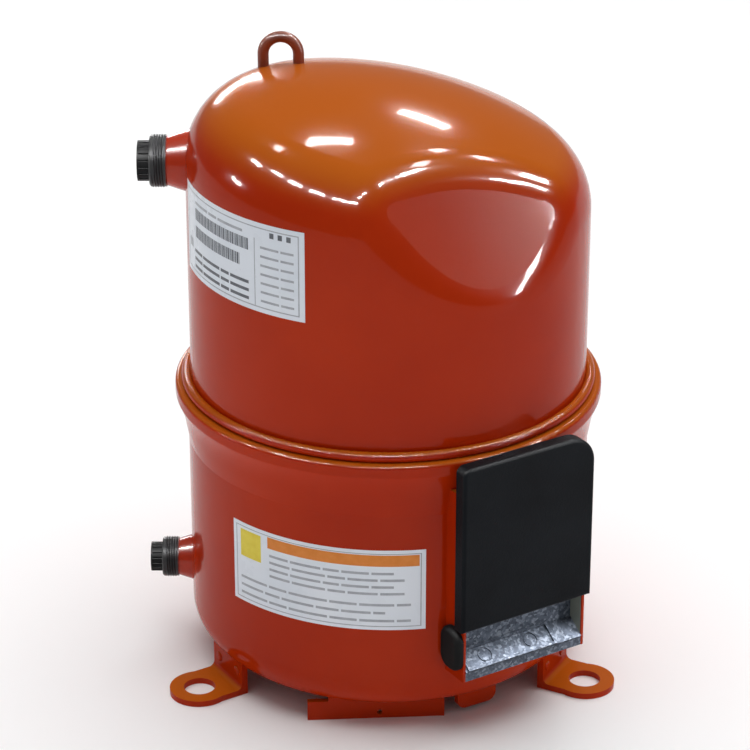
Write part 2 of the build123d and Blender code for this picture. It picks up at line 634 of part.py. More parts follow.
# ---------------------------------------------------------------- terminal feed-through
TERMINAL_PLATE_T = 3.5
TERMINAL_FACE_R = LOWER_R - 0.5   # outer face of the plate, from the axis
TERMINAL_BACK_R = TERMINAL_FACE_R - TERMINAL_PLATE_T
TERMINAL_PIN_R = 1.6
PIN_CIRCLE_R = 9.0
GLASS_R = 4.0
GLASS_PROUD = 1.0
PIN_ANGLES = (90, 210, 330)
pin_spots = [polar(PIN_CIRCLE_R, angle) for angle in PIN_ANGLES]
with BuildPart() as terminal_plate:
    with BuildSketch(outward_plane(-90, TERMINAL_Z, TERMINAL_BACK_R)):
        Circle(TERMINAL_R)
        with Locations(*pin_spots):
            Circle(GLASS_R, mode=Mode.SUBTRACT)
    extrude(amount=TERMINAL_PLATE_T)
terminal_plate.part.label = "terminal_plate"
export_step(terminal_plate.part, "parts/terminal_plate.step")

with BuildPart() as terminal_glass:
    with BuildSketch(outward_plane(-90, TERMINAL_Z, TERMINAL_BACK_R)):
        with Locations(*pin_spots):
            Circle(GLASS_R)
            Circle(TERMINAL_PIN_R, mode=Mode.SUBTRACT)
    extrude(amount=TERMINAL_PLATE_T + GLASS_PROUD)
terminal_glass.part.label = "terminal_glass"
export_step(terminal_glass.part, "parts/terminal_glass.step")

PIN_INNER_Y = 108.0
PIN_OUTER_Y = 135.0
with BuildPart() as terminal_pins:
    with BuildSketch(outward_plane(-90, TERMINAL_Z, PIN_INNER_Y)):
        with Locations(*pin_spots):
            Circle(TERMINAL_PIN_R)
    extrude(amount=PIN_OUTER_Y - PIN_INNER_Y)
terminal_pins.part.label = "terminal_pins"
export_step(terminal_pins.part, "parts/terminal_pins.step")

# motor leads from the pins, up beside the stator, to the upper end winding
LEAD_R = 1.5
LEAD_BEND_R = 5.0
LEAD_DROP_Y = -101.5
LEAD_TOP_Z = 166.0
with BuildPart() as lead_wires:
    for level, height in pin_spots:
        lead_z = TERMINAL_Z + height
        with BuildLine() as lead_route:
            FilletPolyline(
                (level, -PIN_INNER_Y, lead_z),
                (level, LEAD_DROP_Y, lead_z),
                (level, LEAD_DROP_Y, LEAD_TOP_Z),
                (level, -END_TURN_OUT_R, LEAD_TOP_Z),
                radius=LEAD_BEND_R,
            )
        with BuildSketch(Plane(origin=lead_route.line @ 0, z_dir=lead_route.line % 0)):
            Circle(LEAD_R)
        sweep(path=lead_route.line)
lead_wires.part.label = "lead_wires"
export_step(lead_wires.part, "parts/lead_wires.step")

# ---------------------------------------------------------------- motor
SLOT_W = 6.0
SLOT_IN_R = 51.0
SLOT_OUT_R = 74.0
SLOT_MOUTH = 2.5
WINDING_GAP = 0.2
WINDING_PROUD = 1.0        # slot fillings stand out of the core to meet the end turns
END_TURN_GAP = 0.5         # between the end turns and the core
END_TURN_CORNER_R = 6.0
CORE_BOLT_HOLE_R = 4.4


def slot_sketch(inset):
    """One stator slot on the +X side, shrunk all round by inset."""
    with BuildSketch() as slot:
        with Locations(((SLOT_IN_R + SLOT_OUT_R) / 2, 0)):
            Rectangle(SLOT_OUT_R - SLOT_IN_R - 2 * inset, SLOT_W - 2 * inset)
    return slot.sketch


with BuildPart() as stator_core:
    with BuildSketch(Plane.XY.offset(STACK_LOW_Z)):
        Circle(STATOR_R)
        Circle(STATOR_BORE_R, mode=Mode.SUBTRACT)
        with PolarLocations(0, SLOT_COUNT):
            add(slot_sketch(0), mode=Mode.SUBTRACT)
        with PolarLocations((STATOR_BORE_R + SLOT_IN_R) / 2, SLOT_COUNT):
            Rectangle(2 * (SLOT_IN_R - STATOR_BORE_R), SLOT_MOUTH, mode=Mode.SUBTRACT)
        with Locations(*[polar(STATOR_BOLT_R, angle) for angle in STATOR_BOLT_ANGLES]):
            Circle(CORE_BOLT_HOLE_R, mode=Mode.SUBTRACT)
    extrude(amount=STACK_TOP_Z - STACK_LOW_Z)
stator_core.part.label = "stator_core"
export_step(stator_core.part, "parts/stator_core.step")

end_turn_mid_r = (END_TURN_IN_R + END_TURN_OUT_R) / 2
end_turn_half_h = (END_TURN_H - END_TURN_GAP) / 2
with BuildPart() as stator_winding:
    with BuildSketch(Plane.XY.offset(STACK_LOW_Z - WINDING_PROUD)):
        with PolarLocations(0, SLOT_COUNT):
            add(slot_sketch(WINDING_GAP))
    extrude(amount=STACK_TOP_Z - STACK_LOW_Z + 2 * WINDING_PROUD)
    for middle_z in (
        STACK_LOW_Z - END_TURN_GAP - end_turn_half_h,
        STACK_TOP_Z + END_TURN_GAP + end_turn_half_h,
    ):
        with BuildSketch(Plane.XZ):
            with Locations((end_turn_mid_r, middle_z)):
                RectangleRounded(
                    END_TURN_OUT_R - END_TURN_IN_R, 2 * end_turn_half_h, END_TURN_CORNER_R
                )
        revolve(axis=Axis.Z)
stator_winding.part.label = "stator_winding"
export_step(stator_winding.part, "parts/stator_winding.step")

BOLT_HEAD_R = 6.5
BOLT_HEAD_H = 6.0
STATOR_BOLT_LOW_Z = STACK_LOW_Z - BOLT_HEAD_H
STATOR_BOLT_TOP_Z = 176.0
bolt_spots = [polar(STATOR_BOLT_R, angle) for angle in STATOR_BOLT_ANGLES]
with BuildPart() as stator_bolts:
    with BuildSketch(Plane.XY.offset(STATOR_BOLT_LOW_Z)):
        with Locations(*bolt_spots):
            RegularPolygon(BOLT_HEAD_R, 6)
    extrude(amount=STACK_LOW_Z - STATOR_BOLT_LOW_Z)
    with BuildSketch(Plane.XY.offset(STACK_LOW_Z)):
        with Locations(*bolt_spots):
            Circle(M8_R)
    extrude(amount=STATOR_BOLT_TOP_Z - STACK_LOW_Z)
stator_bolts.part.label = "stator_bolts"
export_step(stator_bolts.part, "parts/stator_bolts.step")

# thermal cut-out strapped to the upper end winding
PROTECTOR_X = 66.0
PROTECTOR_SIZE = (14.0, 26.0, 8.0)
PROTECTOR_CORNER_R = 4.0
with BuildPart() as motor_protector:
    with BuildSketch(Plane.XY.offset(STACK_TOP_Z + END_TURN_H)):
        with Locations((PROTECTOR_X, 0)):
            RectangleRounded(PROTECTOR_SIZE[0], PROTECTOR_SIZE[1], PROTECTOR_CORNER_R)
    extrude(amount=PROTECTOR_SIZE[2])
motor_protector.part.label = "motor_protector"
export_step(motor_protector.part, "parts/motor_protector.step")

END_RING_IN_R = 33.0
END_RING_OUT_R = 47.0
END_RING_H = 5.0
with BuildPart() as rotor:
    with BuildSketch(Plane.XY.offset(STACK_LOW_Z)):
        Circle(ROTOR_R)
        Circle(SHAFT_R, mode=Mode.SUBTRACT)
    extrude(amount=STACK_TOP_Z - STACK_LOW_Z)
    for base_z in (STACK_LOW_Z - END_RING_H, STACK_TOP_Z):
        with BuildSketch(Plane.XY.offset(base_z)):
            Circle(END_RING_OUT_R)
            Circle(END_RING_IN_R, mode=Mode.SUBTRACT)
        extrude(amount=END_RING_H)
rotor.part.label = "rotor"
export_step(rotor.part, "parts/rotor.step")

WEIGHT_R = 46.0
WEIGHT_H = 9.0
WEIGHT_COLLAR = 8.0        # radial width of the ring that holds each weight on the shaft


def counterweight(base_z, azimuth):
    """Half ring clamped round the shaft against the rotor's end ring."""
    with BuildPart() as weight:
        with BuildSketch(Plane.XY.offset(base_z)):
            Circle(WEIGHT_R)
            with Locations((-WEIGHT_R, 0)):
                Rectangle(2 * WEIGHT_R, 4 * WEIGHT_R, mode=Mode.SUBTRACT)
            Circle(SHAFT_R + WEIGHT_COLLAR)
            Circle(SHAFT_R, mode=Mode.SUBTRACT)
        extrude(amount=WEIGHT_H)
    return weight.part.rotate(Axis.Z, azimuth)


# the eccentric pin points to +X at rest, so the upper weight hangs on the -X side
counterweight_upper = counterweight(STACK_TOP_Z + END_RING_H, 180)
counterweight_upper.label = "counterweight_upper"
export_step(counterweight_upper, "parts/counterweight_upper.step")
counterweight_lower = counterweight(STACK_LOW_Z - END_RING_H - WEIGHT_H, 0)
counterweight_lower.label = "counterweight_lower"
export_step(counterweight_lower, "parts/counterweight_lower.step")

# ---------------------------------------------------------------- shaft and lower bearing
PICKUP_R = 8.0
PICKUP_BORE_R = 5.0
PICKUP_LOW_Z = 21.0
PICKUP_SEAT = 8.0
PICKUP_CHAMFER = 1.5
DRIVE_BUSH_LOW_Z = MAIN_JOURNAL_TOP_Z + 3
shaft_steps = (
    (SHAFT_LOW_Z, SHAFT_SHOULDER_Z, LOWER_JOURNAL_R),
    (SHAFT_SHOULDER_Z, MAIN_JOURNAL_LOW_Z, SHAFT_R),
    (MAIN_JOURNAL_LOW_Z, MAIN_JOURNAL_TOP_Z, MAIN_JOURNAL_R),
)
with BuildPart() as crankshaft:
    for low_z, top_z, radius in shaft_steps:
        with BuildSketch(Plane.XY.offset(low_z)):
            Circle(radius)
        extrude(amount=top_z - low_z)
    with BuildSketch(Plane.XY.offset(MAIN_JOURNAL_TOP_Z)):
        with Locations((ORBIT_R, 0)):
            Circle(PIN_R)
    extrude(amount=PIN_TOP_Z - MAIN_JOURNAL_TOP_Z)
    with BuildSketch(Plane.XY.offset(SHAFT_LOW_Z)):
        with Locations((OIL_BORE_X, 0)):
            Circle(OIL_BORE_R)
    extrude(amount=PIN_TOP_Z - SHAFT_LOW_Z, mode=Mode.SUBTRACT)
    with BuildSketch(Plane.XY.offset(SHAFT_LOW_Z)):
        Circle(PICKUP_R)
    extrude(amount=PICKUP_SEAT, mode=Mode.SUBTRACT)
crankshaft.part.label = "crankshaft"
export_step(crankshaft.part, "parts/crankshaft.step")

with BuildPart() as oil_pickup:
    with BuildSketch(Plane.XY.offset(PICKUP_LOW_Z)):
        Circle(PICKUP_R)
        Circle(PICKUP_BORE_R, mode=Mode.SUBTRACT)
    extrude(amount=SHAFT_LOW_Z + PICKUP_SEAT - PICKUP_LOW_Z)
    low_rims = oil_pickup.edges().filter_by(GeomType.CIRCLE).group_by(Axis.Z)[0]
    chamfer(low_rims.sort_by(SortBy.RADIUS)[-1], PICKUP_CHAMFER)
oil_pickup.part.label = "oil_pickup"
export_step(oil_pickup.part, "parts/oil_pickup.step")

with BuildPart() as drive_bushing:
    with BuildSketch(Plane.XY.offset(DRIVE_BUSH_LOW_Z)):
        with Locations((ORBIT_R, 0)):
            Circle(DRIVE_BUSH_R)
            Circle(PIN_R, mode=Mode.SUBTRACT)
    extrude(amount=PIN_TOP_Z - DRIVE_BUSH_LOW_Z)
drive_bushing.part.label = "drive_bushing"
export_step(drive_bushing.part, "parts/drive_bushing.step")

SPIDER_ARM_ANGLES = (80, 200, 320)
SPIDER_LOW_Z = 46.0
SPIDER_TOP_Z = 64.0
SPIDER_HUB_R = 21.0
SPIDER_ARM_W = 26.0
SPIDER_ARM_LOW_Z = 50.0
SPIDER_ARM_T = 5.0
SPIDER_FOOT_T = 9.0        # upturned end of each arm against the shell wall
SPIDER_FOOT_H = 20.0
lower_bush_r = LOWER_JOURNAL_R + RUNNING_GAP + BUSH_WALL
with BuildPart() as lower_bracket:
    with BuildSketch(Plane.XY.offset(SPIDER_LOW_Z)):
        Circle(SPIDER_HUB_R)
    extrude(amount=SPIDER_TOP_Z - SPIDER_LOW_Z)
    for middle_r, length, height in (
        (INSIDE_R / 2, INSIDE_R, SPIDER_ARM_T),
        (INSIDE_R - SPIDER_FOOT_T / 2, SPIDER_FOOT_T, SPIDER_FOOT_H),
    ):
        with BuildSketch(Plane.XY.offset(SPIDER_ARM_LOW_Z)):
            with Locations(*[Location((*polar(middle_r, a), 0), a) for a in SPIDER_ARM_ANGLES]):
                Rectangle(length, SPIDER_ARM_W)
        extrude(amount=height)
    with BuildSketch(Plane.XY):
        Circle(INSIDE_R)
    extrude(amount=LIP_TOP_Z, mode=Mode.INTERSECT)
    with BuildSketch(Plane.XY):
        Circle(lower_bush_r)
    extrude(amount=LIP_TOP_Z, mode=Mode.SUBTRACT)
lower_bracket.part.label = "lower_bracket"
export_step(lower_bracket.part, "parts/lower_bracket.step")


def bearing_bush(journal_r, low_z, top_z):
    """Plain sleeve bearing around a journal."""
    with BuildPart() as bush:
        with BuildSketch(Plane.XY.offset(low_z)):
            Circle(journal_r + RUNNING_GAP + BUSH_WALL)
            Circle(journal_r + RUNNING_GAP, mode=Mode.SUBTRACT)
        extrude(amount=top_z - low_z)
    return bush.part


lower_bush = bearing_bush(LOWER_JOURNAL_R, SPIDER_LOW_Z, SPIDER_TOP_Z)
lower_bush.label = "lower_bush"
export_step(lower_bush, "parts/lower_bush.step")

WASHER_GAP = 0.5
with BuildPart() as thrust_washer:
    with BuildSketch(Plane.XY.offset(SPIDER_TOP_Z)):
        Circle(SHAFT_R)
        Circle(LOWER_JOURNAL_R + WASHER_GAP, mode=Mode.SUBTRACT)
    extrude(amount=SHAFT_SHOULDER_Z - SPIDER_TOP_Z - FIT_GAP)
thrust_washer.part.label = "thrust_washer"
export_step(thrust_washer.part, "parts/thrust_washer.step")

# ---------------------------------------------------------------- main frame
RECESS_R = 30.5
HUB_ROOT_R = 46.0
FRAME_EDGE_Z = 224.0
THRUST_SEAT_Z = ORBIT_PLATE_LOW_Z - TIP_GAP - THRUST_SHEET
POST_R = 8.0
PORT_SCALLOP_R = 9.0
SCALLOP_ANGLES = (0, 60, 120, 180, 240, 300)
HUB_NECK_H = 10.0          # height of the cone between hub and frame
HOLE_END = 2.0             # bolt holes run on past the bolt ends
SEAT_GAP = 0.2
GAS_WINDOW_ANGLES = (90, 210, 330)
GAS_WINDOW_W = 22.0
GAS_WINDOW_LINTEL = 5.0
main_bush_r = MAIN_JOURNAL_R + RUNNING_GAP + BUSH_WALL
KEY_W = 8.0
KEY_L = 8.0
KEY_R = 73.0
KEY_GAP = 0.3
KEY_SINK = 5.0
FRAME_KEY_ANGLES = (0, 180)
SCROLL_KEY_ANGLES = (90, 270)
with BuildPart() as main_frame:
    with BuildSketch(Plane.XZ):
        with BuildLine():
            Polyline(
                (main_bush_r, HUB_LOW_Z),
                (HUB_R, HUB_LOW_Z),
                (HUB_R, FRAME_LOW_Z - HUB_NECK_H),
                (HUB_ROOT_R, FRAME_LOW_Z),
                (FRAME_R, FRAME_LOW_Z),
                (FRAME_R, FRAME_EDGE_Z),
                (FIXED_R, FRAME_EDGE_Z),
                (FIXED_R, SCROLL_SEAT_Z),
                (FRAME_WALL_R, SCROLL_SEAT_Z),
                (FRAME_WALL_R, OLDHAM_FLOOR_Z),
                (THRUST_R + SEAT_GAP, OLDHAM_FLOOR_Z),
                (THRUST_R + SEAT_GAP, THRUST_SEAT_Z),
                (RECESS_R, THRUST_SEAT_Z),
                (RECESS_R, MAIN_JOURNAL_TOP_Z - 1),
                (main_bush_r, MAIN_JOURNAL_TOP_Z - 1),
                close=True,
            )
        make_face()
    revolve(axis=Axis.Z)
    with BuildSketch(Plane.XY.offset(STACK_TOP_Z)):
        with Locations(*bolt_spots):
            Circle(POST_R)
    extrude(amount=FRAME_LOW_Z - STACK_TOP_Z)
    with BuildSketch(Plane.XY.offset(STACK_TOP_Z)):
        with Locations(*bolt_spots):
            Circle(M8_R)
    extrude(amount=STATOR_BOLT_TOP_Z - STACK_TOP_Z + HOLE_END, mode=Mode.SUBTRACT)
    with BuildSketch(Plane.XY.offset(FRAME_LOW_Z)):
        with Locations(*[polar(FRAME_R, angle) for angle in SCALLOP_ANGLES]):
            Circle(PORT_SCALLOP_R)
    extrude(amount=FRAME_EDGE_Z - FRAME_LOW_Z, mode=Mode.SUBTRACT)
    key_slot_w = KEY_W + 2 * KEY_GAP
    key_slot_l = KEY_L + 2 * ORBIT_R + 2 * KEY_GAP
    with BuildSketch(Plane.XY.offset(OLDHAM_FLOOR_Z)):
        with Locations(*[Location((*polar(KEY_R, a), 0), a) for a in FRAME_KEY_ANGLES]):
            Rectangle(key_slot_l, key_slot_w)
    extrude(amount=-KEY_SINK - KEY_GAP, mode=Mode.SUBTRACT)
    scroll_bolt_spots = [polar(SCROLL_BOLT_R, 30 + 60 * i) for i in range(6)]
    with BuildSketch(Plane.XY.offset(SCROLL_SEAT_Z)):
        with Locations(*scroll_bolt_spots):
            Circle(M8_R)
    extrude(amount=-SCROLL_BOLT_DEPTH - HOLE_END, mode=Mode.SUBTRACT)
    with BuildSketch(Plane.XY.offset(OLDHAM_FLOOR_Z)):
        with Locations(*[Location((*polar(FIXED_R, a), 0), a) for a in GAS_WINDOW_ANGLES]):
            Rectangle(2 * (FIXED_R - FRAME_WALL_R) + HOLE_END, GAS_WINDOW_W)
    extrude(amount=SCROLL_SEAT_Z - OLDHAM_FLOOR_Z - GAS_WINDOW_LINTEL, mode=Mode.SUBTRACT)
main_frame.part.label = "main_frame"
export_step(main_frame.part, "parts/main_frame.step")

main_bush = bearing_bush(MAIN_JOURNAL_R, HUB_LOW_Z, MAIN_JOURNAL_TOP_Z - 1)
main_bush.label = "main_bush"
export_step(main_bush, "parts/main_bush.step")

with BuildPart() as thrust_plate:
    with BuildSketch(Plane.XY.offset(THRUST_SEAT_Z)):
        Circle(THRUST_R)
        Circle(RECESS_R + WASHER_GAP, mode=Mode.SUBTRACT)
    extrude(amount=THRUST_SHEET)
thrust_plate.part.label = "thrust_plate"
export_step(thrust_plate.part, "parts/thrust_plate.step")

OLDHAM_IN_R = 66.0
OLDHAM_OUT_R = 79.0
OLDHAM_SHEET = 5.0
OLDHAM_KEY_GAP = 1.5       # above the ring's upper keys
oldham_low_z = OLDHAM_FLOOR_Z + FIT_GAP
with BuildPart() as oldham_ring:
    with BuildSketch(Plane.XY.offset(oldham_low_z)):
        Circle(OLDHAM_OUT_R)
        Circle(OLDHAM_IN_R, mode=Mode.SUBTRACT)
    extrude(amount=OLDHAM_SHEET)
    with BuildSketch(Plane.XY.offset(oldham_low_z)):
        with Locations(*[Location((*polar(KEY_R, a), 0), a) for a in FRAME_KEY_ANGLES]):
            Rectangle(KEY_L, KEY_W)
    extrude(amount=-KEY_SINK)
    with BuildSketch(Plane.XY.offset(oldham_low_z + OLDHAM_SHEET)):
        with Locations(*[Location((*polar(KEY_R, a), 0), a) for a in SCROLL_KEY_ANGLES]):
            Rectangle(KEY_L, KEY_W)
    extrude(amount=ORBIT_PLATE_LOW_Z - oldham_low_z - OLDHAM_SHEET + KEY_SINK - OLDHAM_KEY_GAP)
oldham_ring.part.label = "oldham_ring"
export_step(oldham_ring.part, "parts/oldham_ring.step")

# ---------------------------------------------------------------- scroll set
BASE_R = WRAP_PITCH / (2 * math.pi)     # radius of the circle that the wraps unwind from
WRAP_STEPS = 90


def involute_point(angle, phase):
    """Point of a circle involute that starts on the base circle at the phase angle."""
    unwound = angle - phase
    return (
        BASE_R * (math.cos(angle) + unwound * math.sin(angle)),
        BASE_R * (math.sin(angle) - unwound * math.cos(angle)),
    )


def wrap_sketch(thickness, first, last):
    """Spiral strip between two involutes, centred on the origin."""
    half_phase = thickness / (2 * BASE_R)
    angles = [first + (last - first) * i / WRAP_STEPS for i in range(WRAP_STEPS + 1)]
    outer = [involute_point(angle, -half_phase) for angle in angles]
    inner = [involute_point(angle, half_phase) for angle in angles]
    with BuildSketch() as strip:
        with BuildLine():
            Spline(*outer)
            Line(outer[-1], inner[-1])
            Spline(*inner)
            Line(inner[0], outer[0])
        make_face()
    return strip.sketch


SEAL_T = 1.6
SEAL_H = 1.5
SEAL_END_SPAN = 0.25       # the seal stops this angle short of both wrap ends
wrap_profile = wrap_sketch(WRAP_T, WRAP_START, WRAP_END)
seal_groove = wrap_sketch(SEAL_T, WRAP_START + SEAL_END_SPAN, WRAP_END - SEAL_END_SPAN)
orbit_centre = Pos(ORBIT_R, 0, 0)
half_turn = Rot(0, 0, 180)
ORBIT_HUB_R = 22.0
ORBIT_HUB_LOW_Z = 212.0
orbit_bush_r = DRIVE_BUSH_R + RUNNING_GAP + BUSH_WALL

with BuildPart() as orbiting_scroll:
    with BuildSketch(Plane.XY.offset(ORBIT_PLATE_LOW_Z)):
        with Locations((ORBIT_R, 0)):
            Circle(ORBIT_PLATE_R)
    extrude(amount=ORBIT_PLATE_TOP_Z - ORBIT_PLATE_LOW_Z)
    with BuildSketch(Plane.XY.offset(ORBIT_HUB_LOW_Z)):
        with Locations((ORBIT_R, 0)):
            Circle(ORBIT_HUB_R)
            Circle(orbit_bush_r, mode=Mode.SUBTRACT)
    extrude(amount=ORBIT_PLATE_LOW_Z - ORBIT_HUB_LOW_Z)
    with BuildSketch(Plane.XY.offset(ORBIT_PLATE_TOP_Z)):
        add(orbit_centre * wrap_profile)
    extrude(amount=WRAP_TOP_Z - ORBIT_PLATE_TOP_Z)
    with BuildSketch(Plane.XY.offset(WRAP_TOP_Z)):
        add(orbit_centre * seal_groove)
    extrude(amount=-SEAL_H, mode=Mode.SUBTRACT)
    open_slot = KEY_W + 2 * ORBIT_R + 4 * KEY_GAP
    with BuildSketch(Plane.XY.offset(ORBIT_PLATE_LOW_Z)):
        with Locations((ORBIT_R, KEY_R), (ORBIT_R, -KEY_R)):
            Rectangle(open_slot, KEY_L + 2 * ORBIT_R + 8 * KEY_GAP)
    extrude(amount=KEY_SINK - 1, mode=Mode.SUBTRACT)
orbiting_scroll.part.label = "orbiting_scroll"
export_step(orbiting_scroll.part, "parts/orbiting_scroll.step")

orbiting_bush = bearing_bush(DRIVE_BUSH_R, ORBIT_HUB_LOW_Z, PIN_TOP_Z).moved(orbit_centre)
orbiting_bush.label = "orbiting_bush"
export_step(orbiting_bush, "parts/orbiting_bush.step")

with BuildPart() as orbiting_tip_seal:
    with BuildSketch(Plane.XY.offset(WRAP_TOP_Z - SEAL_H)):
        add(orbit_centre * seal_groove)
    extrude(amount=SEAL_H)
orbiting_tip_seal.part.label = "orbiting_tip_seal"
export_step(orbiting_tip_seal.part, "parts/orbiting_tip_seal.step")

fixed_low_z = ORBIT_PLATE_TOP_Z + TIP_GAP
fixed_ceiling_z = WRAP_TOP_Z + TIP_GAP
INLET_W = 30.0
INLET_LINTEL = 4.0
with BuildPart() as fixed_scroll:
    with BuildSketch(Plane.XY.offset(fixed_low_z)):
        Circle(FIXED_R)
        Circle(FIXED_CAVITY_R, mode=Mode.SUBTRACT)
    extrude(amount=fixed_ceiling_z - fixed_low_z)
    with BuildSketch(Plane.XY.offset(fixed_ceiling_z)):
        Circle(FIXED_R)
    extrude(amount=FIXED_TOP_Z - fixed_ceiling_z)
    with BuildSketch(Plane.XY.offset(FIXED_TOP_Z)):
        Circle(BOSS_R)
    extrude(amount=BOSS_TOP_Z - FIXED_TOP_Z)
    with BuildSketch(Plane.XY.offset(fixed_low_z)):
        add(half_turn * wrap_profile)
    extrude(amount=fixed_ceiling_z - fixed_low_z)
    with BuildSketch(Plane.XY.offset(fixed_low_z)):
        add(half_turn * seal_groove)
    extrude(amount=SEAL_H, mode=Mode.SUBTRACT)
    with BuildSketch(Plane.XY.offset(fixed_low_z)):
        with Locations((0, (FIXED_CAVITY_R + FIXED_R) / 2)):
            Rectangle(INLET_W, FIXED_R - FIXED_CAVITY_R + 2 * INLET_LINTEL)
    extrude(amount=fixed_ceiling_z - fixed_low_z - INLET_LINTEL, mode=Mode.SUBTRACT)
    with BuildSketch(Plane.XY.offset(fixed_low_z)):
        with Locations(*scroll_bolt_spots):
            Circle(CORE_BOLT_HOLE_R)
    extrude(amount=FIXED_TOP_Z - fixed_low_z, mode=Mode.SUBTRACT)
    with BuildSketch(Plane.XY.offset(fixed_ceiling_z)):
        Circle(DISCHARGE_HOLE_R)
    extrude(amount=BOSS_TOP_Z - fixed_ceiling_z, mode=Mode.SUBTRACT)
fixed_scroll.part.label = "fixed_scroll"
export_step(fixed_scroll.part, "parts/fixed_scroll.step")

with BuildPart() as fixed_tip_seal:
    with BuildSketch(Plane.XY.offset(fixed_low_z)):
        add(half_turn * seal_groove)
    extrude(amount=SEAL_H)
fixed_tip_seal.part.label = "fixed_tip_seal"
export_step(fixed_tip_seal.part, "parts/fixed_tip_seal.step")

with BuildPart() as scroll_bolts:
    with BuildSketch(Plane.XY.offset(SCROLL_SEAT_Z - SCROLL_BOLT_DEPTH)):
        with Locations(*scroll_bolt_spots):
            Circle(M8_R)
    extrude(amount=FIXED_TOP_Z - SCROLL_SEAT_Z + SCROLL_BOLT_DEPTH)
    with BuildSketch(Plane.XY.offset(FIXED_TOP_Z)):
        with Locations(*scroll_bolt_spots):
            RegularPolygon(BOLT_HEAD_R, 6)
    extrude(amount=BOLT_HEAD_H)
scroll_bolts.part.label = "scroll_bolts"
export_step(scroll_bolts.part, "parts/scroll_bolts.step")

# ---------------------------------------------------------------- discharge check valve
VALVE_DISC_R = 10.5
VALVE_DISC_T = 1.0
CAGE_IN_R = 11.0
CAGE_OUT_R = 14.0
CAGE_FLANGE_R = 21.0
CAGE_H = 6.5
CAGE_TOP_T = 2.0
CAGE_FLANGE_T = 1.5
CAGE_VENT_CIRCLE_R = 6.5
CAGE_VENT_R = 2.3
CAGE_WINDOW_W = 8.0
CAGE_WINDOW_LOW_Z = BOSS_TOP_Z + 2
CAGE_WINDOW_H = 3.5
VALVE_SCREW_CIRCLE_R = 17.5
VALVE_SCREW_ANGLES = (60, 180, 300)
VALVE_SCREW_R = 2.0
VALVE_SCREW_GAP = 0.2
VALVE_SCREW_HEAD_R = 3.2
VALVE_SCREW_HEAD_H = 2.2
VALVE_SCREW_SOCKET_R = 1.6
screw_spots = [polar(VALVE_SCREW_CIRCLE_R, angle) for angle in VALVE_SCREW_ANGLES]
with BuildPart() as check_valve_disc:
    with BuildSketch(Plane.XY.offset(BOSS_TOP_Z + FIT_GAP)):
        Circle(VALVE_DISC_R)
    extrude(amount=VALVE_DISC_T)
check_valve_disc.part.label = "check_valve_disc"
export_step(check_valve_disc.part, "parts/check_valve_disc.step")

with BuildPart() as valve_cage:
    with BuildSketch(Plane.XY.offset(BOSS_TOP_Z)):
        Circle(CAGE_FLANGE_R)
        Circle(CAGE_IN_R, mode=Mode.SUBTRACT)
        with Locations(*screw_spots):
            Circle(VALVE_SCREW_R + VALVE_SCREW_GAP, mode=Mode.SUBTRACT)
    extrude(amount=CAGE_FLANGE_T)
    with BuildSketch(Plane.XY.offset(BOSS_TOP_Z)):
        Circle(CAGE_OUT_R)
        Circle(CAGE_IN_R, mode=Mode.SUBTRACT)
    extrude(amount=CAGE_H)
    with BuildSketch(Plane.XY.offset(BOSS_TOP_Z + CAGE_H)):
        Circle(CAGE_OUT_R)
        with PolarLocations(CAGE_VENT_CIRCLE_R, 6):
            Circle(CAGE_VENT_R, mode=Mode.SUBTRACT)
    extrude(amount=CAGE_TOP_T)
    with BuildSketch(Plane.XY.offset(CAGE_WINDOW_LOW_Z)):
        with PolarLocations((CAGE_IN_R + CAGE_OUT_R) / 2, 3):
            Rectangle(CAGE_WINDOW_W, CAGE_WINDOW_W)
    extrude(amount=CAGE_WINDOW_H, mode=Mode.SUBTRACT)
valve_cage.part.label = "valve_cage"
export_step(valve_cage.part, "parts/valve_cage.step")

with BuildPart() as valve_screws:
    with BuildSketch(Plane.XY.offset(BOSS_TOP_Z)):
        with Locations(*screw_spots):
            Circle(VALVE_SCREW_R)
    extrude(amount=CAGE_FLANGE_T)
    with BuildSketch(Plane.XY.offset(BOSS_TOP_Z + CAGE_FLANGE_T)):
        with Locations(*screw_spots):
            Circle(VALVE_SCREW_HEAD_R)
            RegularPolygon(VALVE_SCREW_SOCKET_R, 6, mode=Mode.SUBTRACT)
    extrude(amount=VALVE_SCREW_HEAD_H)
valve_screws.part.label = "valve_screws"
export_step(valve_screws.part, "parts/valve_screws.step")

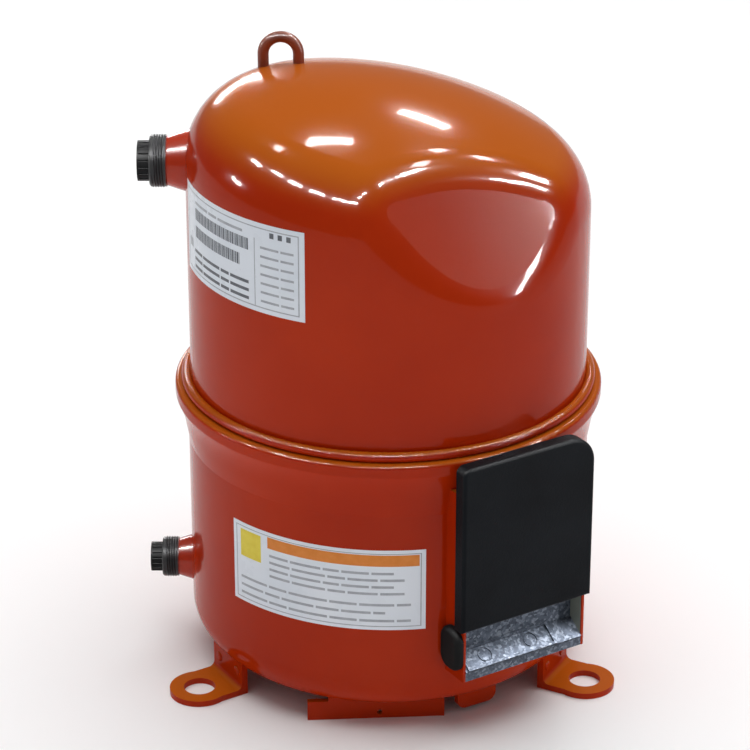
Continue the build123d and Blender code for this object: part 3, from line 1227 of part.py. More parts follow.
# ---------------------------------------------------------------- partition plate
PARTITION_RIM_Z = 262.0
PARTITION_FLAT_Z = 299.0
PARTITION_SHEET = 3.0
PARTITION_RIM_H = 12.0     # straight rim against the shell wall
PARTITION_NECK_Z = PARTITION_RIM_Z + 18
PARTITION_RIM_R = UPPER_R - WALL - FIT_GAP
PARTITION_WALL_R = 114.0   # outside of the drawn wall at its foot
PARTITION_DRAFT = 2.0
PARTITION_HOLE_R = BOSS_R + 2.5
RELIEF_SPOT = polar(70, 300)
RELIEF_HOLE_R = 5.0
RELIEF_STEM_R = 4.8
RELIEF_STEM_DROP = 2.0     # the valve's stem reaches below the plate
RELIEF_HEAD_R = 8.0
RELIEF_HEAD_H = 6.0
partition_inner_r = PARTITION_WALL_R - PARTITION_SHEET
partition_rim_inner_r = PARTITION_RIM_R - PARTITION_SHEET
with BuildPart() as partition_plate:
    with BuildSketch(Plane.XZ):
        with BuildLine():
            Polyline(
                (PARTITION_RIM_R, PARTITION_RIM_Z),
                (PARTITION_RIM_R, PARTITION_RIM_Z + PARTITION_RIM_H),
                (PARTITION_WALL_R, PARTITION_NECK_Z),
                (PARTITION_WALL_R - PARTITION_DRAFT, PARTITION_FLAT_Z),
                (PARTITION_HOLE_R, PARTITION_FLAT_Z),
                (PARTITION_HOLE_R, PARTITION_FLAT_Z - PARTITION_SHEET),
                (partition_inner_r - PARTITION_DRAFT, PARTITION_FLAT_Z - PARTITION_SHEET),
                (partition_inner_r, PARTITION_NECK_Z - PARTITION_DRAFT),
                (partition_rim_inner_r, PARTITION_RIM_Z + PARTITION_RIM_H - PARTITION_DRAFT),
                (partition_rim_inner_r, PARTITION_RIM_Z),
                close=True,
            )
        make_face()
    revolve(axis=Axis.Z)
    with BuildSketch(Plane.XY.offset(PARTITION_FLAT_Z)):
        with Locations(RELIEF_SPOT):
            Circle(RELIEF_HOLE_R)
    extrude(amount=-PARTITION_SHEET, mode=Mode.SUBTRACT)
partition_plate.part.label = "partition_plate"
export_step(partition_plate.part, "parts/partition_plate.step")

with BuildPart() as plenum_seal:
    with BuildSketch(Plane.XY.offset(PARTITION_FLAT_Z - PARTITION_SHEET)):
        Circle(PARTITION_HOLE_R)
        Circle(BOSS_R, mode=Mode.SUBTRACT)
    extrude(amount=PARTITION_SHEET)
plenum_seal.part.label = "plenum_seal"
export_step(plenum_seal.part, "parts/plenum_seal.step")

with BuildPart() as relief_valve:
    with BuildSketch(Plane.XY.offset(PARTITION_FLAT_Z - PARTITION_SHEET - RELIEF_STEM_DROP)):
        with Locations(RELIEF_SPOT):
            Circle(RELIEF_STEM_R)
    extrude(amount=PARTITION_SHEET + RELIEF_STEM_DROP)
    with BuildSketch(Plane.XY.offset(PARTITION_FLAT_Z)):
        with Locations(RELIEF_SPOT):
            RegularPolygon(RELIEF_HEAD_R, 6)
    extrude(amount=RELIEF_HEAD_H)
relief_valve.part.label = "relief_valve"
export_step(relief_valve.part, "parts/relief_valve.step")

# magnet on the sump floor that catches wear particles
MAGNET_SPOT = polar(62, 110)
MAGNET_R = 11.0
MAGNET_H = 5.0
with BuildPart() as chip_magnet:
    with BuildSketch(Plane.XY.offset(BOTTOM_Z + WALL)):
        with Locations(MAGNET_SPOT):
            Circle(MAGNET_R)
    extrude(amount=MAGNET_H)
chip_magnet.part.label = "chip_magnet"
export_step(chip_magnet.part, "parts/chip_magnet.step")
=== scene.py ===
import itertools
import json
import math

import bmesh
import bpy
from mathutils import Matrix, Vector


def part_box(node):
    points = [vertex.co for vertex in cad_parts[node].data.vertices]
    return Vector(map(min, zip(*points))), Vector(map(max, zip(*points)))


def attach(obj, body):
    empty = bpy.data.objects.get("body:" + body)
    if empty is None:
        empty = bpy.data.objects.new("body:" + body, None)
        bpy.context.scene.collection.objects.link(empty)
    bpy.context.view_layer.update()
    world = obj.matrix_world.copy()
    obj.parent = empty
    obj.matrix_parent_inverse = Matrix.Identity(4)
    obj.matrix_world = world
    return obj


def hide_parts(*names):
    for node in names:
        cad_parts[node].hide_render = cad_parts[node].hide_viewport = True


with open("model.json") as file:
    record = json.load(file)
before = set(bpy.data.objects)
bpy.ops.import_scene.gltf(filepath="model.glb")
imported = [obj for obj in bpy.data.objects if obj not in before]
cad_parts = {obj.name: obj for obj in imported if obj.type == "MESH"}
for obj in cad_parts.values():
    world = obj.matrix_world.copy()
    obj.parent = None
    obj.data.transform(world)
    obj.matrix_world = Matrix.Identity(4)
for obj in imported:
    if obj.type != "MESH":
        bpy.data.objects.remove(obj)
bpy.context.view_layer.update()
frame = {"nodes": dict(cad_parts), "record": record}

MM = 0.001

# ------------------------------------------------------------------ sizes read from the frame
upper_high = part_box("upper_shell")[1]
bead_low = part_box("weld_bead")[0]
housing_low, housing_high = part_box("terminal_housing")
UPPER_R = upper_high.x
mounts = {mount["name"]: mount for mount in frame["record"]["mounts"]}
port_out = Vector(mounts["discharge_thread"]["axis"])


# ------------------------------------------------------------------ materials
def new_material(name, roughness=0.4, metallic=0.0, coat=0.0, specular=0.2):
    """Empty principled material whose constant values sit on the shader's own sockets."""
    material = bpy.data.materials.new(name)
    material.use_nodes = True
    shader = material.node_tree.nodes["Principled BSDF"]
    shader.inputs["Roughness"].default_value = roughness
    shader.inputs["Metallic"].default_value = metallic
    shader.inputs["Coat Weight"].default_value = coat
    shader.inputs["Coat Roughness"].default_value = 0.04
    shader.inputs["Specular IOR Level"].default_value = specular
    return material, material.node_tree, shader


def noise(tree, scale, detail=4.0, stretch=(1, 1, 1)):
    """Noise in object space, in metres, so that its grain has a real size."""
    place = tree.nodes.new("ShaderNodeTexCoord")
    mapping = tree.nodes.new("ShaderNodeMapping")
    mapping.inputs["Scale"].default_value = stretch
    texture = tree.nodes.new("ShaderNodeTexNoise")
    texture.inputs["Scale"].default_value = scale
    texture.inputs["Detail"].default_value = detail
    tree.links.new(place.outputs["Object"], mapping.inputs["Vector"])
    tree.links.new(mapping.outputs["Vector"], texture.inputs["Vector"])
    return texture.outputs["Fac"]


def ramp(tree, source, stops):
    """Colour ramp through (position, colour) stops."""
    node = tree.nodes.new("ShaderNodeValToRGB")
    while len(node.color_ramp.elements) < len(stops):
        node.color_ramp.elements.new(0.5)
    for element, (position, colour) in zip(node.color_ramp.elements, stops):
        element.position = position
        element.color = (*colour, 1)
    tree.links.new(source, node.inputs["Fac"])
    return node.outputs["Color"]


def spread(tree, source, low, high):
    """Maps a 0 to 1 source to the range low to high."""
    node = tree.nodes.new("ShaderNodeMapRange")
    node.inputs["To Min"].default_value = low
    node.inputs["To Max"].default_value = high
    tree.links.new(source, node.inputs["Value"])
    return node.outputs["Result"]


def bump(tree, shader, source, depth):
    """Bump of a real depth in metres."""
    node = tree.nodes.new("ShaderNodeBump")
    node.inputs["Strength"].default_value = 1.0
    node.inputs["Distance"].default_value = depth
    tree.links.new(source, node.inputs["Height"])
    tree.links.new(node.outputs["Normal"], shader.inputs["Normal"])


def grained(name, dark, light, patch, grain, depth, rough, metallic=0.0, coat=0.0, stretch=(1, 1, 1),
            specular=0.2):
    """Surface with large soft colour patches, uneven gloss and a fine grain in relief."""
    material, tree, shader = new_material(name, metallic=metallic, coat=coat, specular=specular)
    patches = noise(tree, patch)
    colour = ramp(tree, patches, [(0.3, dark), (0.7, light)])
    tree.links.new(colour, shader.inputs["Base Color"])
    tree.links.new(spread(tree, noise(tree, patch * 3, 6.0), *rough), shader.inputs["Roughness"])
    bump(tree, shader, noise(tree, grain, 3.0, stretch), depth)
    return material


ENAMEL_DARK = (0.39, 0.020, 0.001)
ENAMEL_LIGHT = (0.49, 0.032, 0.002)
# lighter orange painted on upward faces: painted light from above
ENAMEL_PAINTED_TOP_LIGHT = (0.50, 0.105, 0.006)
# upward part of the surface direction at which the painted top light (lighter orange for light falling from
# above) starts and is full
TOP_LIGHT_START = 0.38
TOP_LIGHT_FULL = 0.90


def enamel(name):
    """Gloss enamel with slight orange peel and painted top light: lighter orange where it faces upwards."""
    material, tree, shader = new_material(name, coat=0.18, specular=0.03)
    colour = ramp(tree, noise(tree, 7), [(0.3, ENAMEL_DARK), (0.7, ENAMEL_LIGHT)])
    shape = tree.nodes.new("ShaderNodeNewGeometry")
    parts = tree.nodes.new("ShaderNodeSeparateXYZ")
    tree.links.new(shape.outputs["Normal"], parts.inputs["Vector"])
    upward = tree.nodes.new("ShaderNodeMapRange")
    upward.interpolation_type = "SMOOTHSTEP"
    upward.inputs["From Min"].default_value = TOP_LIGHT_START
    upward.inputs["From Max"].default_value = TOP_LIGHT_FULL
    tree.links.new(parts.outputs["Z"], upward.inputs["Value"])
    # mixes in the lighter orange on upward faces, painted light from above
    blend = tree.nodes.new("ShaderNodeMix")
    blend.data_type = "RGBA"
    blend.inputs["B"].default_value = (*ENAMEL_PAINTED_TOP_LIGHT, 1)
    tree.links.new(upward.outputs["Result"], blend.inputs["Factor"])
    tree.links.new(colour, blend.inputs["A"])
    tree.links.new(blend.outputs["Result"], shader.inputs["Base Color"])
    tree.links.new(spread(tree, noise(tree, 21, 6.0), 0.12, 0.22), shader.inputs["Roughness"])
    bump(tree, shader, noise(tree, 160, 3.0), 0.00004)
    return material



materials = {
    "shell_paint": enamel("shell_paint"),
    "dark_thread": grained("dark_thread", (0.02, 0.02, 0.022), (0.05, 0.05, 0.052), 90, 900, 0.00003,
                           (0.3, 0.5), metallic=0.8),
    "cover_plastic": grained("cover_plastic", (0.003, 0.004, 0.006), (0.006, 0.008, 0.011), 25, 900, 0.00014,
                             (0.36, 0.48), specular=0.06),
    "plug_plastic": grained("plug_plastic", (0.005, 0.005, 0.006), (0.010, 0.010, 0.011), 60, 1200, 0.00003,
                            (0.35, 0.55), specular=0.12),
    "boot_rubber": grained("boot_rubber", (0.005, 0.005, 0.006), (0.010, 0.010, 0.010), 60, 1600, 0.00004,
                           (0.45, 0.65), specular=0.06),
    "gasket_foam": grained("gasket_foam", (0.03, 0.03, 0.032), (0.06, 0.06, 0.062), 80, 1800, 0.0002,
                           (0.8, 0.95)),
    "label_film": grained("label_film", (0.78, 0.83, 0.90), (0.86, 0.90, 0.96), 20, 600, 0.00001,
                          (0.22, 0.34)),
    "cast_iron": grained("cast_iron", (0.10, 0.10, 0.105), (0.19, 0.19, 0.195), 60, 700, 0.00012,
                         (0.45, 0.65), metallic=0.9),
    "ground_steel": grained("ground_steel", (0.42, 0.42, 0.43), (0.55, 0.55, 0.56), 40, 900, 0.00001,
                            (0.2, 0.35), metallic=1.0, stretch=(1, 1, 20)),
    "core_steel": grained("core_steel", (0.16, 0.16, 0.17), (0.28, 0.28, 0.29), 30, 900, 0.00015,
                          (0.4, 0.6), metallic=0.9, stretch=(0.02, 0.02, 1)),
    "copper_winding": grained("copper_winding", (0.30, 0.09, 0.03), (0.55, 0.19, 0.07), 90, 500, 0.0004,
                              (0.3, 0.45), metallic=0.7, stretch=(1, 1, 6)),
    "rotor_metal": grained("rotor_metal", (0.40, 0.40, 0.41), (0.58, 0.58, 0.59), 40, 800, 0.00004,
                           (0.3, 0.5), metallic=1.0),
    "weight_brass": grained("weight_brass", (0.42, 0.28, 0.09), (0.58, 0.40, 0.14), 40, 900, 0.00003,
                            (0.25, 0.4), metallic=1.0),
    "bearing_bronze": grained("bearing_bronze", (0.33, 0.18, 0.07), (0.48, 0.28, 0.11), 60, 900, 0.00003,
                              (0.3, 0.45), metallic=1.0),
    "seal_polymer": grained("seal_polymer", (0.40, 0.36, 0.27), (0.52, 0.47, 0.36), 60, 900, 0.00002,
                            (0.45, 0.6)),
    "pin_metal": grained("pin_metal", (0.48, 0.43, 0.33), (0.62, 0.56, 0.44), 90, 900, 0.00001,
                         (0.2, 0.35), metallic=1.0, stretch=(1, 12, 1)),
    "lead_insulation": grained("lead_insulation", (0.35, 0.015, 0.010), (0.45, 0.025, 0.015), 60, 900,
                               0.00003, (0.4, 0.55)),
    "magnet_ferrite": grained("magnet_ferrite", (0.02, 0.02, 0.022), (0.05, 0.05, 0.055), 80, 900, 0.0001,
                              (0.5, 0.7), metallic=0.3),
    "pressed_steel": grained("pressed_steel", (0.22, 0.22, 0.23), (0.33, 0.33, 0.34), 25, 500, 0.00003,
                             (0.3, 0.5), metallic=1.0),
}


SPANGLES_PER_METRE = 620


def spangled_zinc():
    """Galvanised sheet: crystal spangles of slightly different grey and gloss."""
    material, tree, shader = new_material("zinc_plate", metallic=0.65)
    place = tree.nodes.new("ShaderNodeTexCoord")
    crystals = tree.nodes.new("ShaderNodeTexVoronoi")
    crystals.inputs["Scale"].default_value = SPANGLES_PER_METRE
    tree.links.new(place.outputs["Object"], crystals.inputs["Vector"])
    shade = tree.nodes.new("ShaderNodeSeparateColor")
    tree.links.new(crystals.outputs["Color"], shade.inputs["Color"])
    colour = ramp(tree, shade.outputs["Red"], [(0.0, (0.04, 0.048, 0.064)), (0.6, (0.07, 0.083, 0.108)),
                                              (1.0, (0.16, 0.18, 0.215))])
    tree.links.new(colour, shader.inputs["Base Color"])
    tree.links.new(spread(tree, shade.outputs["Green"], 0.48, 0.68), shader.inputs["Roughness"])
    bump(tree, shader, noise(tree, 500), 0.00003)
    return material


def sealing_glass():
    """Greenish fused glass around the terminal pins."""
    material, tree, shader = new_material("sealing_glass", roughness=0.08)
    colour = ramp(tree, noise(tree, 300), [(0.3, (0.04, 0.12, 0.11)), (0.7, (0.08, 0.20, 0.18))])
    tree.links.new(colour, shader.inputs["Base Color"])
    bump(tree, shader, noise(tree, 700), 0.00003)
    return material


PAINT_EDGE = 0.4 * MM


def stub_finish(name, thread_start):
    """Enamel on the boss, blackened steel on the thread beyond thread_start from the shell axis."""
    material, tree, shader = new_material(name, coat=0.2)
    place = tree.nodes.new("ShaderNodeTexCoord")
    along = tree.nodes.new("ShaderNodeVectorMath")
    along.operation = "DOT_PRODUCT"
    along.inputs[1].default_value = port_out
    tree.links.new(place.outputs["Object"], along.inputs[0])
    edge = tree.nodes.new("ShaderNodeMapRange")
    edge.inputs["From Min"].default_value = thread_start - PAINT_EDGE
    edge.inputs["From Max"].default_value = thread_start + PAINT_EDGE
    tree.links.new(along.outputs["Value"], edge.inputs["Value"])
    paint = ramp(tree, noise(tree, 9), [(0.3, ENAMEL_DARK), (0.7, ENAMEL_LIGHT)])
    steel = ramp(tree, noise(tree, 120), [(0.3, (0.012, 0.012, 0.013)), (0.7, (0.035, 0.035, 0.037))])
    blend = tree.nodes.new("ShaderNodeMix")
    blend.data_type = "RGBA"
    tree.links.new(edge.outputs["Result"], blend.inputs["Factor"])
    tree.links.new(paint, blend.inputs["A"])
    tree.links.new(steel, blend.inputs["B"])
    tree.links.new(blend.outputs["Result"], shader.inputs["Base Color"])
    tree.links.new(spread(tree, edge.outputs["Result"], 0.22, 0.42), shader.inputs["Roughness"])
    bump(tree, shader, noise(tree, 400), 0.00004)
    return material


ring_material = grained("ring_paint", (0.20, 0.035, 0.008), (0.34, 0.060, 0.014), 60, 300, 0.00008,
                        (0.28, 0.45), coat=0.2)
liner_material = grained("primer_grey", (0.16, 0.18, 0.15), (0.22, 0.24, 0.21), 30, 700, 0.00003, (0.5, 0.7))
materials["zinc_plate"] = spangled_zinc()
materials["sealing_glass"] = sealing_glass()
THREAD_START = (Vector(mounts["discharge_thread"]["pos_m"]).to_2d().length
                - mounts["discharge_thread"]["dims"]["length_mm"] * MM / 2)
stub_material = stub_finish("port_stub_finish", THREAD_START)

node_slots = {part["node"]: part["material_slot"] for part in frame["record"]["subparts"]}
for name, piece in frame["nodes"].items():
    chosen = stub_material if name.endswith("_stub") else materials[node_slots[name]]
    if name == "lifting_ring":
        chosen = ring_material
    if not piece.material_slots:
        piece.data.materials.append(chosen)
    for holder in piece.material_slots:
        holder.material = chosen


# ------------------------------------------------------------------ mesh helpers
def new_piece(name, verts, faces, material, body="housing", smooth=True):
    """Mesh object from vertices and faces in metres, riding on a body."""
    mesh = bpy.data.meshes.new(name)
    mesh.from_pydata([tuple(v) for v in verts], [], faces)
    mesh.validate()
    mesh.update()
    outward = bmesh.new()
    outward.from_mesh(mesh)
    bmesh.ops.recalc_face_normals(outward, faces=outward.faces)
    outward.to_mesh(mesh)
    outward.free()
    piece = bpy.data.objects.new(name, mesh)
    bpy.context.scene.collection.objects.link(piece)
    for item in material if isinstance(material, list) else [material]:
        mesh.materials.append(item)
    for polygon in mesh.polygons:
        polygon.use_smooth = smooth
    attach(piece, body)
    return piece


def ring_grid(rows, columns, point):
    """Vertices and faces of a closed tube of rows around a closed run of columns."""
    verts = [point(i, j) for i in range(columns) for j in range(rows)]
    faces = []
    for i in range(columns):
        ahead = (i + 1) % columns
        for j in range(rows):
            up = (j + 1) % rows
            faces.append((i * rows + j, ahead * rows + j, ahead * rows + up, i * rows + up))
    return verts, faces


def wrapped_plate(radius, thickness, first, last, low, high, steps=24):
    """Vertices and faces of a thin closed plate wrapped about the axis."""
    verts = []
    for i in range(steps + 1):
        turn = first + (last - first) * i / steps
        for r in (radius, radius + thickness):
            for z in (low, high):
                verts.append((r * math.cos(turn), r * math.sin(turn), z))
    faces = [(0, 1, 3, 2), (4 * steps, 4 * steps + 2, 4 * steps + 3, 4 * steps + 1)]
    for i in range(steps):
        a, b = 4 * i, 4 * (i + 1)
        faces += [(a, b, b + 1, a + 1), (a + 2, a + 3, b + 3, b + 2),
                  (a, a + 2, b + 2, b), (a + 1, b + 1, b + 3, a + 3)]
    return verts, faces


# ------------------------------------------------------------------ weld bead with its ripples
BEAD_ROWS = 12
BEAD_RIPPLES = 210
BEAD_COLUMNS = BEAD_RIPPLES * 5
# middle of the bead's section, outside the upper shell and above the bead's foot, and its size, in mm
BEAD_OUT = 2.6
BEAD_RISE = 2.9
BEAD_SIZE = 3.0


def bead_point(i, j):
    """Point on the bead: a rounded section whose size swells once per ripple."""
    turn = 2 * math.pi * i / BEAD_COLUMNS
    phase = BEAD_RIPPLES * turn
    wander = 0.35 * math.sin(5 * turn) + 0.25 * math.sin(11 * turn + 1.0)
    size = BEAD_SIZE + 0.07 * math.sin(phase) + 0.2 * wander
    around = 2 * math.pi * j / BEAD_ROWS
    r = UPPER_R / MM + BEAD_OUT + 0.2 * wander + 1.05 * size * math.cos(around)
    z = bead_low.z / MM + BEAD_RISE + size * math.sin(around) + 0.08 * math.sin(around) * math.cos(phase)
    return Vector((r * math.cos(turn), r * math.sin(turn), z)) * MM


verts, faces = ring_grid(BEAD_ROWS, BEAD_COLUMNS, bead_point)
bead = new_piece("weld_bead_ripples", verts, faces, materials["shell_paint"])
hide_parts("weld_bead")

# ------------------------------------------------------------------ printed fields on the labels
PRINT_T = 0.04 * MM


def ink(name, dark, light):
    """Printed ink: slightly uneven, satin."""
    return grained(name, dark, light, 200, 1500, 0.000004, (0.3, 0.42))


ink_grey = ink("ink_grey", (0.10, 0.11, 0.13), (0.16, 0.17, 0.19))
ink_pale = ink("ink_pale", (0.36, 0.38, 0.42), (0.46, 0.48, 0.52))
ink_orange = ink("ink_orange", (0.72, 0.22, 0.03), (0.80, 0.27, 0.05))
ink_yellow = ink("ink_yellow", (0.78, 0.62, 0.05), (0.85, 0.70, 0.08))


class Label:
    """A label's own mesh as a printing area: u runs along it and v up it, both from 0 to 1."""

    def __init__(self, node):
        """Azimuths, heights and outer radius of the wrapped sheet."""
        corners = [vertex.co for vertex in frame["nodes"][node].data.vertices]
        turns = [math.atan2(corner.y, corner.x) % (2 * math.pi) for corner in corners]
        self.first, self.last = min(turns), max(turns)
        self.low = min(corner.z for corner in corners)
        self.high = max(corner.z for corner in corners)
        self.radius = max(corner.to_2d().length for corner in corners)

    def place(self, u, v):
        """Azimuth and height of a point of the label."""
        return self.first + (self.last - self.first) * u, self.low + (self.high - self.low) * v


def print_fields(name, label, fields, material):
    """All printed rectangles of one colour on a label, as one piece."""
    verts, faces = [], []
    for u0, v0, u1, v1 in fields:
        first, low = label.place(u0, v0)
        last, high = label.place(u1, v1)
        steps = max(2, int(40 * abs(u1 - u0)))
        more, quads = wrapped_plate(label.radius, PRINT_T, first, last, low, high, steps)
        base = len(verts)
        verts += more
        faces += [tuple(index + base for index in quad) for quad in quads]
    return new_piece(name, verts, faces, material, smooth=False)


def frame_fields(u0, v0, u1, v1, width_u, width_v):
    """Four strips of a rectangular border."""
    return [(u0, v0, u1, v0 + width_v), (u0, v1 - width_v, u1, v1),
            (u0, v0 + width_v, u0 + width_u, v1 - width_v), (u1 - width_u, v0 + width_v, u1, v1 - width_v)]


WORD_GAP = 0.012


def dashes(u0, u1, v, height, words):
    """A row of short bars of uneven length that stands for a line of print."""
    fields = []
    total = sum(words)
    at = u0
    for word in words:
        length = (u1 - u0 - WORD_GAP * (len(words) - 1)) * word / total
        fields.append((at, v, at + length, v + height))
        at += length + WORD_GAP
    return fields


# every field is u0, v0, u1, v1 in fractions of its label, and every row of dashes u0, u1, v, height
rating = Label("rating_label")
BAR_UNIT = 0.004
BAR_HEIGHT = 0.13
BAR_START = 0.16
bars = []
for row, (v, stop) in enumerate(((0.66, 0.66), (0.46, 0.60))):
    at = BAR_START
    step = 0
    while at < stop:
        # one, two and three units wide in a plain repeating rhythm, so they encode nothing
        width = BAR_UNIT + BAR_UNIT * ((step * 7 + row * 3) % 3)
        bars.append((at, v, at + width, v + BAR_HEIGHT))
        at += width + BAR_UNIT
        step += 1
rows = [line for k in range(3) for line in dashes(0.14, 0.66, 0.10 + 0.09 * k, 0.035, (3, 5, 2, 4))]
table = [line for k in range(7) for line in dashes(0.74, 0.94, 0.12 + 0.10 * k, 0.025, (3, 2))]
top_marks = [(0.80 + 0.05 * k, 0.86, 0.825 + 0.05 * k, 0.92) for k in range(3)]
divider = (0.70, 0.06, 0.705, 0.82)
small_field = (0.06, 0.30, 0.11, 0.40)
print_fields("rating_label_border", rating, frame_fields(0.03, 0.05, 0.97, 0.95, 0.006, 0.012) + [divider],
             ink_pale)
print_fields("rating_label_bars", rating, bars + top_marks + rows, ink_grey)
print_fields("rating_label_table", rating,
             table + [small_field] + dashes(0.16, 0.62, 0.84, 0.03, (4, 2, 5)), ink_pale)

notice = Label("notice_label")
print_fields("notice_label_band", notice, [(0.22, 0.80, 0.97, 0.94)], ink_orange)
print_fields("notice_label_field", notice, [(0.05, 0.58, 0.18, 0.92)], ink_yellow)
upper_lines = [line for k in range(4)
               for line in dashes(0.23, 0.90 - 0.05 * (k % 2), 0.44 + 0.085 * k, 0.03, (4, 6, 3, 5, 4))]
lower_lines = [line for k in range(3)
               for line in dashes(0.05, 0.93 - 0.12 * (k % 2), 0.10 + 0.10 * k, 0.03, (5, 3, 6, 4, 5, 2))]
print_fields("notice_label_lines", notice, upper_lines + lower_lines, ink_pale)
print_fields("notice_label_border", notice, frame_fields(0.02, 0.04, 0.98, 0.96, 0.005, 0.010), ink_pale)

# ------------------------------------------------------------------ threads on the port stubs
THREAD_PITCH = 1.6 * MM
THREAD_DEPTH = 0.55 * MM
THREAD_ROOT = 0.1 * MM
THREAD_HALF_WIDTH = 0.42 * THREAD_PITCH
THREAD_STEPS = 48
THREAD_FADE_STEPS = 12


def thread(name, mount):
    """Helical ridge over the stub's threaded end."""
    radius = mount["dims"]["r_mm"] * MM
    length = mount["dims"]["length_mm"] * MM
    middle = Vector(mount["pos_m"])
    out = Vector(mount["axis"])
    level = Vector((-out.y, out.x, 0))
    up = Vector((0, 0, 1))
    turns = int(length / THREAD_PITCH) - 1
    steps = THREAD_STEPS * turns
    start = middle - out * (turns * THREAD_PITCH / 2)
    verts, faces = [], []
    for i in range(steps + 1):
        turn = 2 * math.pi * i / THREAD_STEPS
        fade = min(1.0, i / THREAD_FADE_STEPS, (steps - i) / THREAD_FADE_STEPS)
        around = level * math.cos(turn) + up * math.sin(turn)
        along = start + out * (THREAD_PITCH * i / THREAD_STEPS)
        root = around * (radius - THREAD_ROOT)
        verts += [along - out * THREAD_HALF_WIDTH + root,
                  along + around * (radius + THREAD_DEPTH * fade),
                  along + out * THREAD_HALF_WIDTH + root]
    for i in range(steps):
        a, b = 3 * i, 3 * (i + 1)
        faces += [(a, b, b + 1, a + 1), (a + 1, b + 1, b + 2, a + 2), (a + 2, b + 2, b, a)]
    last = 3 * steps
    faces += [(0, 1, 2), (last, last + 2, last + 1)]
    return new_piece(name, verts, faces, materials["dark_thread"], smooth=False)


thread("discharge_thread_ridge", mounts["discharge_thread"])
thread("suction_thread_ridge", mounts["suction_thread"])


# ------------------------------------------------------------------ small welds
def weld_blob(name, centre, normal, radius, height):
    """Low domed weld spot lying on a surface, its outline slightly three-lobed."""
    normal = Vector(normal).normalized()
    side = normal.orthogonal().normalized()
    other = normal.cross(side)
    rings, sectors = 5, 20
    verts = [Vector(centre) + normal * height]
    for k in range(1, rings + 1):
        tilt = math.pi / 2 * k / rings
        for s in range(sectors):
            turn = 2 * math.pi * s / sectors
            r = radius * math.sin(tilt) * (1 + 0.06 * math.sin(3 * turn))
            verts.append(Vector(centre) + (side * math.cos(turn) + other * math.sin(turn)) * r
                         + normal * height * math.cos(tilt))
    faces = [(0, 1 + s, 1 + (s + 1) % sectors) for s in range(sectors)]
    for k in range(rings - 1):
        for s in range(sectors):
            a = 1 + k * sectors
            b = a + sectors
            faces.append((a + s, b + s, b + (s + 1) % sectors, a + (s + 1) % sectors))
    faces.append(tuple(1 + (rings - 1) * sectors + s for s in range(sectors)))
    return new_piece(name, verts, faces, materials["shell_paint"])


# two weld spots on each foot's upright web: distance from the axis, height, sideways place and size
FOOT_WELD_R = 121 * MM
FOOT_WELD_Z = 14 * MM
FOOT_WELD_SIDE = 11 * MM
FOOT_WELD_SIZE = 3.2 * MM
FOOT_WELD_RISE = 1.0 * MM
for side in ("left", "right", "rear"):
    low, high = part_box("foot_" + side)
    centre = (low + high) / 2
    out = Vector((centre.x, centre.y, 0)).normalized()
    level = Vector((-out.y, out.x, 0))
    for k, shift in enumerate((-FOOT_WELD_SIDE, FOOT_WELD_SIDE)):
        spot = out * FOOT_WELD_R + level * shift + Vector((0, 0, FOOT_WELD_Z))
        weld_blob(f"foot_{side}_weld_{k}", spot, out, FOOT_WELD_SIZE, FOOT_WELD_RISE)

# ------------------------------------------------------------------ terminal box details
def slab(name, low, high, material, bevel):
    """Closed block between two corners, its edges rounded."""
    corners = [Vector(corner) for corner in itertools.product(*zip(low, high))]
    faces = [(0, 1, 3, 2), (4, 6, 7, 5), (0, 4, 5, 1), (2, 3, 7, 6), (0, 2, 6, 4), (1, 5, 7, 3)]
    piece = new_piece(name, corners, faces, material, smooth=False)
    rounding = piece.modifiers.new("rounding", "BEVEL")
    rounding.width = bevel
    rounding.segments = 3
    return piece


# spade tabs pushed over the outer ends of the terminal pins
PIN_CIRCLE = 9 * MM
PIN_R = 1.6 * MM
TAB_IN = 3 * MM
TAB_SIZE = Vector((6.3, 0.8, 9.0)) * MM
pins_low, pins_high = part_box("terminal_pins")
terminal_centre = Vector((0, pins_low.y + TAB_IN, pins_high.z - PIN_CIRCLE - PIN_R))
for k, azimuth in enumerate((90, 210, 330)):
    turn = math.radians(azimuth)
    pin = terminal_centre + Vector((math.cos(turn), 0, math.sin(turn))) * PIN_CIRCLE
    lift = Vector((0, 0, TAB_SIZE.z / 4 * (1 if k == 0 else -1)))
    slab(f"terminal_tab_{k}", pin + lift - TAB_SIZE / 2, pin + lift + TAB_SIZE / 2, materials["pin_metal"],
         0.2 * MM)

# grey lining on the inner face of the housing's right wall, which the tray leaves in sight
SHEET = 1.6 * MM
LINER_T = 0.25 * MM
LINER_MARGIN = 1 * MM
LINER_TOP_MARGIN = 3 * MM
LINER_BACK_Y = -128 * MM
liner_x = housing_high.x - SHEET
slab("housing_primer_right",
     (liner_x - LINER_T, housing_low.y + LINER_MARGIN, housing_low.z + LINER_MARGIN),
     (liner_x, LINER_BACK_Y, housing_high.z - LINER_TOP_MARGIN),
     liner_material, 0.1 * MM)

# ------------------------------------------------------------------ setting, lights, camera
bpy.context.scene.view_settings.view_transform = "Standard"
floor_material, floor_tree, floor_shader = new_material("floor_paper", roughness=0.7, specular=0.1)
floor_colour = ramp(floor_tree, noise(floor_tree, 3), [(0.3, (0.95, 0.95, 0.95)), (0.7, (0.97, 0.97, 0.97))])
floor_tree.links.new(floor_colour, floor_shader.inputs["Base Color"])
bpy.ops.mesh.primitive_plane_add(size=12, location=(0, 0, 0))
floor = bpy.context.object
floor.name = "floor"
floor.data.materials.append(floor_material)

world = bpy.data.worlds.new("studio")
bpy.context.scene.world = world
world.use_nodes = True
world.node_tree.nodes["Background"].inputs["Color"].default_value = (0.97, 0.98, 1.0, 1)
world.node_tree.nodes["Background"].inputs["Strength"].default_value = 0.22

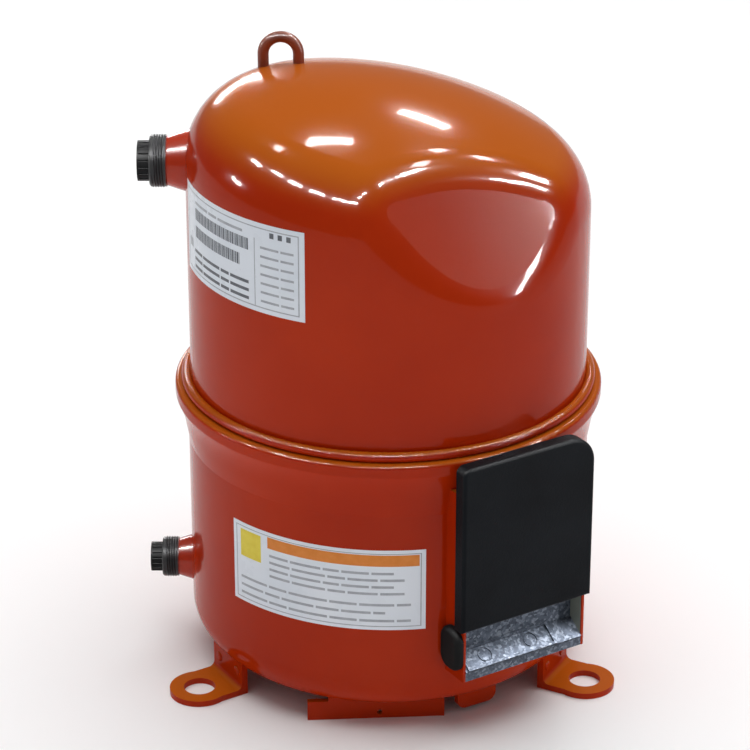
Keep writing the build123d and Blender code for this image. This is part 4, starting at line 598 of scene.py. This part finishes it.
CAMERA_SPOT = Vector((-0.9439, -1.4816, 1.0092))
CAMERA_LOOK = Vector((0.4830, 0.7662, -0.4237))
LENS = 146.8
view_out = -Vector((CAMERA_LOOK.x, CAMERA_LOOK.y, 0)).normalized()
view_right = Vector((-view_out.y, view_out.x, 0))
LIGHT_AIM = Vector((0, 0, 0.2))
LAMP_DISTANCE = 2.6
GLINT_SIZE = (0.34, 0.14)
NEAR_POWER = 44
FAR_POWER = 14


def from_view(azimuth, elevation):
    """Direction at an azimuth to the right of the camera's and an elevation, in degrees."""
    side, rise = math.radians(azimuth), math.radians(elevation)
    flat = view_out * math.cos(side) + view_right * math.sin(side)
    return flat * math.cos(rise) + Vector((0, 0, math.sin(rise)))


def add_light(kind, name, azimuth, elevation, distance, energy):
    """Lamp that shines at the middle of the model."""
    light = bpy.data.lights.new(name, kind)
    light.energy = energy
    lamp = bpy.data.objects.new(name, light)
    bpy.context.scene.collection.objects.link(lamp)
    lamp.location = LIGHT_AIM + from_view(azimuth, elevation) * distance
    lamp.rotation_euler = (LIGHT_AIM - lamp.location).to_track_quat("-Z", "Y").to_euler()
    return lamp


def reflector(name, azimuth, elevation, width, height, power):
    """Rectangular lamp that shows in glossy surfaces but adds no diffuse light."""
    lamp = add_light("AREA", name, azimuth, elevation, LAMP_DISTANCE, power)
    lamp.visible_diffuse = False
    lamp.data.shape = "RECTANGLE"
    lamp.data.size = width
    lamp.data.size_y = height


# lamps that only show as short glints in the enamel: azimuth and elevation from the camera, in degrees
NEAR_GLINTS = (
    *((azimuth, 50) for azimuth in range(-76, 0, 18)),
    (-90, 16), (-94, 45), (8, 58), (24, 62), (75, 60), (92, 58), (84, 37), (104, 40),
)
FAR_GLINTS = ((-132, 62), (112, 60), (149, 51), (127, 47), (180, 55), (164, 36))
skylight = add_light("SUN", "skylight", 160, 76, 3.0, 2.7)
skylight.data.angle = math.radians(75)
skylight.visible_glossy = False
for power, group in ((NEAR_POWER, NEAR_GLINTS), (FAR_POWER, FAR_GLINTS)):
    for azimuth, elevation in group:
        reflector(f"glint_{azimuth}_{elevation}", azimuth, elevation, *GLINT_SIZE, power)
reflector("tall_window", 69, 14, 0.11, 1.1, 70)
reflector("far_window", 196, 13, 0.8, 0.25, 20)

camera_data = bpy.data.cameras.new("camera")
camera_data.lens = LENS
camera_data.sensor_width = 36
camera = bpy.data.objects.new("camera", camera_data)
bpy.context.scene.collection.objects.link(camera)
camera.location = CAMERA_SPOT
camera.rotation_euler = CAMERA_LOOK.to_track_quat("-Z", "Y").to_euler()
bpy.context.scene.camera = camera
